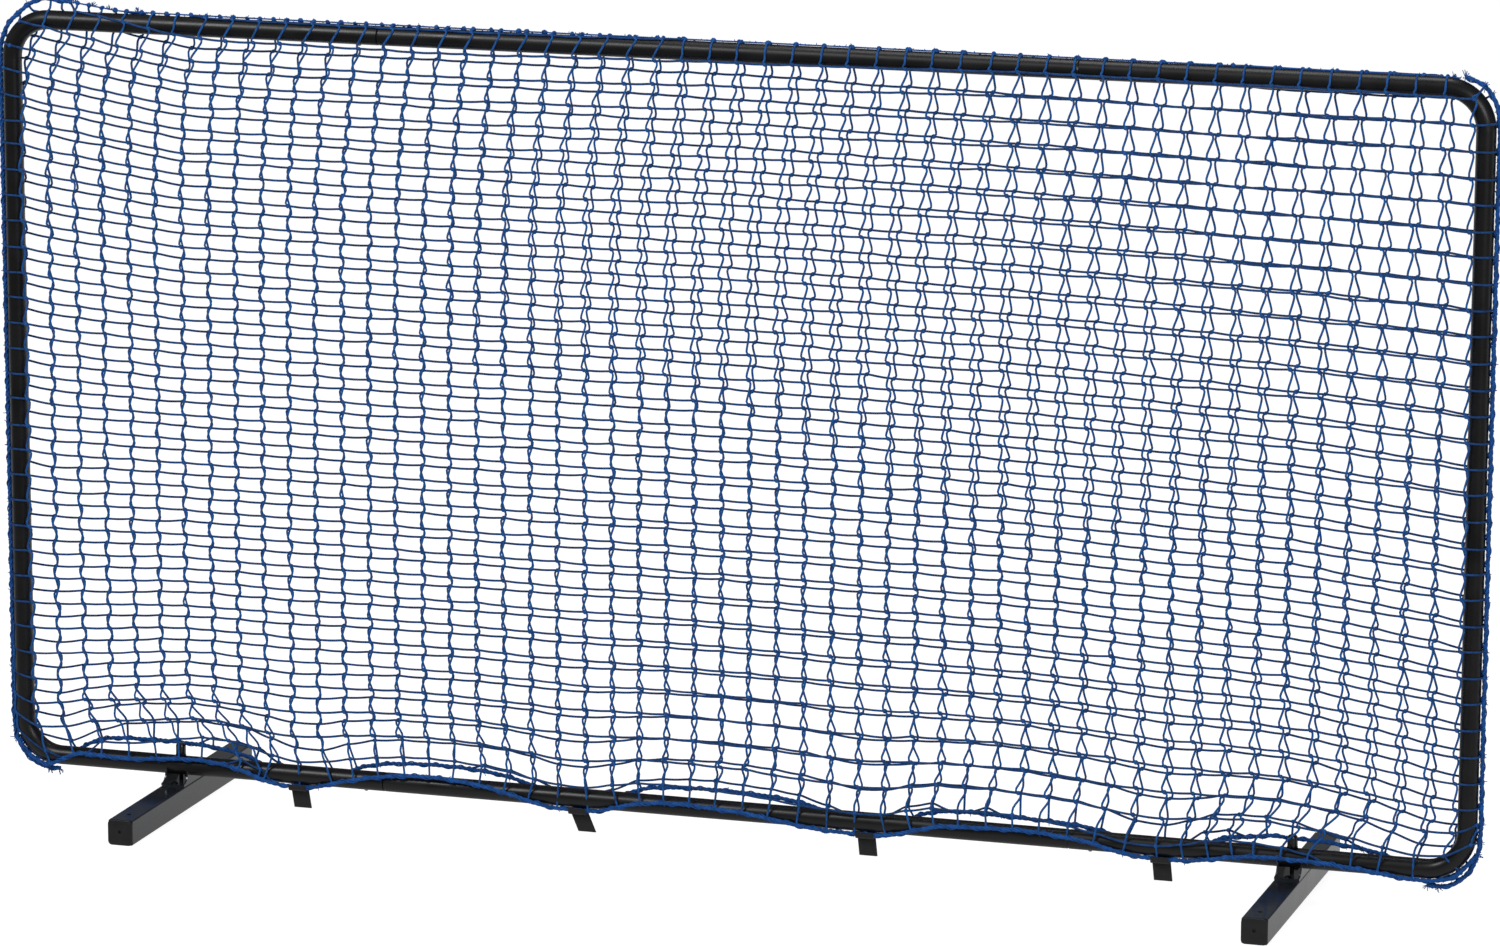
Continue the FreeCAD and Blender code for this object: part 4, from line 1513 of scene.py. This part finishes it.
@dataclass
class EndPlug:
    """A moulded plug that closes a foot: a round-cornered face with a hole, on a hollow insert."""

    node: str
    flange: float = 0.005
    corner: float = 0.0085
    rim: float = 0.0014
    insert_gap: float = 0.0026
    insert_wall: float = 0.0022
    insert_floor: float = 0.002
    overlap: float = 0.0005  # of the insert into the face, so that the two are one plug
    hole: float = 0.0036
    hole_depth: float = 0.0035
    hole_rise: float = 0.002  # of the hole above the face's middle

    def edit(self, block: bpy.types.Object, kind: Part, chosen: Sequence[int]) -> None:
        """Selects some edges or faces of a block and opens it for editing.

        Args:
            block: The block.
            kind: Whether edges or faces are meant.
            chosen: The numbers of the edges or faces.
        """
        activate(block)
        bpy.ops.object.mode_set(mode="EDIT")
        bpy.ops.mesh.select_mode(type=kind.value)
        bpy.ops.mesh.select_all(action="DESELECT")
        bpy.ops.object.mode_set(mode="OBJECT")
        parts = block.data.edges if kind is Part.EDGE else block.data.polygons
        for number in chosen:
            parts[number].select = True
        bpy.ops.object.mode_set(mode="EDIT")

    def slab(self, width: float, height: float, near: float, far: float, middle: Vector) -> bpy.types.Object:
        """Makes a block along the foot with its four long edges rounded.

        Args:
            width: Its size along the screen.
            height: Its size upwards.
            near: Where it starts along the foot.
            far: Where it ends.
            middle: A point on its axis.

        Returns:
            The block.
        """
        deselect()
        place = (middle.x, (near + far) / 2, middle.z)
        size = (width, abs(far - near), height)
        bpy.ops.mesh.primitive_cube_add(size=1.0, location=place, scale=size)
        block = bpy.context.active_object
        settle(block)
        spots = [v.co for v in block.data.vertices]
        lengthways = []
        for edge in block.data.edges:
            a, b = (spots[v] for v in edge.vertices)
            if abs(a.y - b.y) > abs(far - near) / 2:
                lengthways.append(edge.index)
        self.edit(block, Part.EDGE, lengthways)
        bpy.ops.mesh.bevel(offset=self.corner, segments=6, affect="EDGES")
        bpy.ops.object.mode_set(mode="OBJECT")
        return block

    def pick_end(self, block: bpy.types.Object, way: int) -> None:
        """Selects the face at one end of a block and opens the block for editing."""
        ends = [polygon.index for polygon in block.data.polygons if polygon.normal.y * way > 0.9]
        self.edit(block, Part.FACE, ends)

    def build(self, material: bpy.types.Material) -> None:
        """Models the plug in the place of its plain solid.

        Args:
            material: The moulded plastic.
        """
        low, high = (Vector(corner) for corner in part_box(self.node))
        way = -1 if abs(low.y) > abs(high.y) else 1
        outer, inner = (low.y, high.y) if way < 0 else (high.y, low.y)
        step = outer - way * self.flange
        middle = (low + high) / 2
        width, height = high.x - low.x, high.z - low.z
        face = self.slab(width, height, outer, step, middle)
        # The face's rim is softly rounded, and a moulding hole sits in its middle
        self.pick_end(face, way)
        bpy.ops.mesh.bevel(offset=self.rim, segments=3, affect="EDGES")
        bpy.ops.object.mode_set(mode="OBJECT")
        deselect()
        bpy.ops.mesh.primitive_cylinder_add(
            vertices=20,
            radius=self.hole,
            depth=self.hole_depth * 2,
            location=(middle.x, outer, middle.z + self.hole_rise),
            rotation=(math.radians(90), 0, 0),
        )
        drill = bpy.context.active_object
        cut = face.modifiers.new("hole", "BOOLEAN")
        cut.operation = "DIFFERENCE"
        cut.object = drill
        activate(face)
        bpy.ops.object.modifier_apply(modifier=cut.name)
        bpy.data.objects.remove(drill)
        # The insert is open at its far end, as a moulded plug is
        inset = self.insert_gap * 2
        insert = self.slab(width - inset, height - inset, step + way * self.overlap, inner, middle)
        self.pick_end(insert, -way)
        bpy.ops.mesh.inset(thickness=self.insert_wall)
        deep = way * (abs(step - inner) - self.insert_floor)
        bpy.ops.mesh.extrude_region_move(TRANSFORM_OT_translate={"value": (0, deep, 0)})
        bpy.ops.object.mode_set(mode="OBJECT")
        plug = joined(self.node.replace("end_cap", "end_plug"), [face, insert])
        tidy_mesh(plug)
        smooth(plug, 35)
        seat(plug, material, [self.node])


# Springs of the snap buttons


@dataclass
class LeafSpring:
    """The bent leaf behind a snap button, which closes up as the button is pressed."""

    joint: dict[str, Any]

    def build(self, material: bpy.types.Material) -> None:
        """Copies the plain leaf into a mesh of its own.

        Args:
            material: The spring steel.
        """
        deforming = self.joint["deforming_nodes"][0]
        node = deforming["node"]
        plain = frame["nodes"][node]
        leaf = placed(node.replace("button_spring", "leaf_spring"), plain.data.copy())
        leaf.data.name = leaf.name
        tidy_mesh(leaf)
        smooth(leaf, 30)
        seat(leaf, material, [node])
        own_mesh(leaf)


# Studio


@dataclass
class Studio:
    """The plain pale floor, the soft lamps and the camera."""

    camera_place: Point = (3.647, -11.620, 3.347)
    yaw: float = 17.18
    pitch: float = 12.01
    roll: float = 0.19
    lens: float = 154.94
    floor_size: float = 80.0
    sky: str = "#f4f5f7"
    sky_level: float = 0.42
    reflected_sky: float = 0.14
    # Name, place, size and power
    lamps: tuple[tuple[str, Point, float, float], ...] = (
        ("key", (-3.5, -5.0, 6.0), 2.5, 200.0),
        ("fill", (5.0, -6.0, 3.5), 3.0, 150.0),
        ("top", (0.0, 0.5, 7.0), 3.0, 100.0),
    )
    lamp_aim: Point = (0.0, 0.0, 0.8)

    def build_camera(self) -> None:
        """Places the camera where the photograph was taken from."""
        data = bpy.data.cameras.new("camera")
        data.sensor_width = 36.0
        data.lens = self.lens
        data.clip_end = 100.0
        camera = placed("camera", data)
        turn = (
            Matrix.Rotation(math.radians(self.yaw), 4, "Z")
            @ Matrix.Rotation(math.radians(90 - self.pitch), 4, "X")
            @ Matrix.Rotation(math.radians(self.roll), 4, "Z")
        )
        camera.matrix_world = Matrix.Translation(self.camera_place) @ turn
        bpy.context.scene.camera = camera

    def seen_rays(self, tree: bpy.types.NodeTree) -> tuple[bpy.types.NodeSocket, bpy.types.NodeSocket]:
        """Tells apart what the camera sees, straight on or through something, and what is mirrored.

        Args:
            tree: The node tree of the floor or the world.

        Returns:
            A value that is 1 on rays of the first kind, and one that is 1 on mirrored rays.
        """
        path = add(tree, "ShaderNodeLightPath")
        direct = add(
            tree,
            "ShaderNodeMath",
            links={0: path.outputs["Is Camera Ray"], 1: path.outputs["Is Transmission Ray"]},
            operation="MAXIMUM",
        )
        return direct.outputs[0], path.outputs["Is Glossy Ray"]

    def floor_material(self) -> bpy.types.Material:
        """Makes a pale matt paint that is white to the camera and keeps the screen's shadow.

        The near half of the floor is dim in reflections, as it is in a photographer's room.

        Returns:
            The material.
        """
        material, tree = blank_material("pale_floor")
        direct, mirror = self.seen_rays(tree)
        plain = add(tree, "ShaderNodeBsdfDiffuse", {"Color": linear("#dcdcdd")})
        faint = add(tree, "ShaderNodeBsdfDiffuse", {"Color": linear("#a0a0a2")})
        glow = add(tree, "ShaderNodeEmission", {"Color": (1, 1, 1, 1), "Strength": 0.87})
        seen = add(tree, "ShaderNodeAddShader", links={0: faint.outputs[0], 1: glow.outputs[0]})
        spot = add(tree, "ShaderNodeTexCoord").outputs["Object"]
        place = add(tree, "ShaderNodeSeparateXYZ", links={0: spot})
        depth = add(
            tree,
            "ShaderNodeMapRange",
            {"From Min": -1.5, "From Max": 1.5, "To Min": 0.10, "To Max": 0.85},
            {"Value": place.outputs["Y"]},
        )
        mirrored = add(tree, "ShaderNodeEmission", links={"Strength": depth.outputs["Result"]})
        either = {0: mirror, 1: plain.outputs[0], 2: mirrored.outputs[0]}
        shiny = add(tree, "ShaderNodeMixShader", links=either)
        either = {0: direct, 1: shiny.outputs[0], 2: seen.outputs[0]}
        mixed = add(tree, "ShaderNodeMixShader", links=either)
        add(tree, "ShaderNodeOutputMaterial", links={"Surface": mixed.outputs[0]})
        return material

    def build_floor(self) -> None:
        """Lays a pale floor that fills the view."""
        deselect()
        bpy.ops.mesh.primitive_plane_add(size=self.floor_size, location=(0, 0, 0))
        floor = bpy.context.active_object
        floor.name = "floor"
        settle(floor)
        paint(floor, self.floor_material())

    def build_light(self) -> None:
        """Sets the world's even light, dim in reflections, and the soft lamps."""
        world = bpy.data.worlds.new("studio")
        bpy.context.scene.world = world
        world.use_nodes = True
        tree = world.node_tree
        tree.nodes.clear()
        direct, mirror = self.seen_rays(tree)
        tint = linear(self.sky)
        soft = add(tree, "ShaderNodeBackground", {"Color": tint, "Strength": self.sky_level})
        dim = add(tree, "ShaderNodeBackground", {"Color": tint, "Strength": self.reflected_sky})
        either = {0: mirror, 1: soft.outputs[0], 2: dim.outputs[0]}
        lit = add(tree, "ShaderNodeMixShader", links=either)
        white = add(tree, "ShaderNodeBackground", {"Color": (1, 1, 1, 1), "Strength": 1.0})
        either = {0: direct, 1: lit.outputs[0], 2: white.outputs[0]}
        mixed = add(tree, "ShaderNodeMixShader", links=either)
        add(tree, "ShaderNodeOutputWorld", links={"Surface": mixed.outputs[0]})
        for name, place, size, power in self.lamps:
            data = bpy.data.lights.new(name, "AREA")
            data.shape = "SQUARE"
            data.size = size
            data.energy = power
            lamp = placed(name, data)
            lamp.location = place
            aim = Vector(self.lamp_aim) - Vector(place)
            lamp.rotation_euler = aim.to_track_quat("-Z", "Y").to_euler()

    def build(self) -> None:
        """Builds the camera, the floor and the lamps."""
        self.build_camera()
        self.build_floor()
        self.build_light()
        bpy.context.scene.view_settings.view_transform = "Standard"


# Assembly


def dress_frame() -> dict[str, bpy.types.Material]:
    """Gives every rigid solid its real material.

    Returns:
        The materials by their slots.
    """
    finishes = {
        "frame_steel": StovedEnamel(),
        "foot_steel": StovedEnamel(
            "powder_coated_feet", "#1a1d22", "#262a30", 0.20, dust=0.05, gloss=0.6, coat=0.3
        ),
        "cap_plastic": MouldedPolymer("moulded_polyethylene", "#151517", 0.45),
        "cover_plastic": MouldedPolymer("gloss_moulded_nylon", "#0c0c0d", 0.16, coat=0.4),
        "black_hardware": PlatedSteel("black_oxide_steel", "#1f1f21", "#2e2d2b", 0.38),
        "bare_steel": PlatedSteel("zinc_plated_steel", "#b9bcc0", "#8f9398", 0.3),
        "spring_steel": PlatedSteel("blued_spring_steel", "#3d4350", "#2a2d35", 0.32),
    }
    made = {slot: finish.build() for slot, finish in finishes.items()}
    slots = {row["node"]: row["material_slot"] for row in frame["record"]["subparts"]}
    for name, obj in frame["nodes"].items():
        slot = slots.get(name)
        if slot in made:
            paint(obj, made[slot])
            for polygon in obj.data.polygons:
                polygon.use_smooth = True
            LOG.info("%s: %s", name, made[slot].name)
    return made


def main() -> None:
    """Builds the screen's looks in order and reports each piece."""
    logging.basicConfig(level=logging.INFO, format="%(name)s: %(message)s")
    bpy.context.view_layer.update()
    Studio().build()
    made = dress_frame()
    for hand in ("left", "right"):
        for end in ("front", "rear"):
            EndPlug(f"end_cap_{hand}_{end}").build(made["cap_plastic"])
    for joint in frame["record"]["behaviour"]["joints"]:
        LeafSpring(joint).build(made["spring_steel"])
    rope = SpunCord("braided_polyethylene_rope", "#1658a6", "#0d3c74", fibre_mm=1.3, depth=0.0005).build()
    twist = {"weave": Weave.TWISTED, "depth": 0.0005}
    upright = SpunCord("twisted_cord_upright", "#1a5faa", "#103664", turns=105.0, **twist).build()
    # The cords along the screen are the uprights' twine in a darker copy of its colour: painted shade
    crossing = SpunCord("twisted_cord_crossing", "#174a86", "#0c2a54", turns=205.0, **twist).build()
    knot = SpunCord("knotted_cord", "#1a5aa4", "#103868").build()
    ropes = EdgeRopes()
    ropes.build(rope)
    NetLayer(-1, ropes, FRONT_HANG).build(upright, crossing, knot)
    NetLayer(1, ropes, BACK_HANG, seed=9).build(upright, crossing, knot)
    for node in ropes.lines:
        ropes.frayed(node, rope)
    webbing = NylonWebbing().build()
    leans = (0.006, 0.016, 0.004, 0.004)
    for number, (x, lean) in enumerate(zip(ropes.straps, leans), 1):
        TieStrap(number, x, lean).build(webbing)
    deselect()


if __name__ == "__main__":
    main()
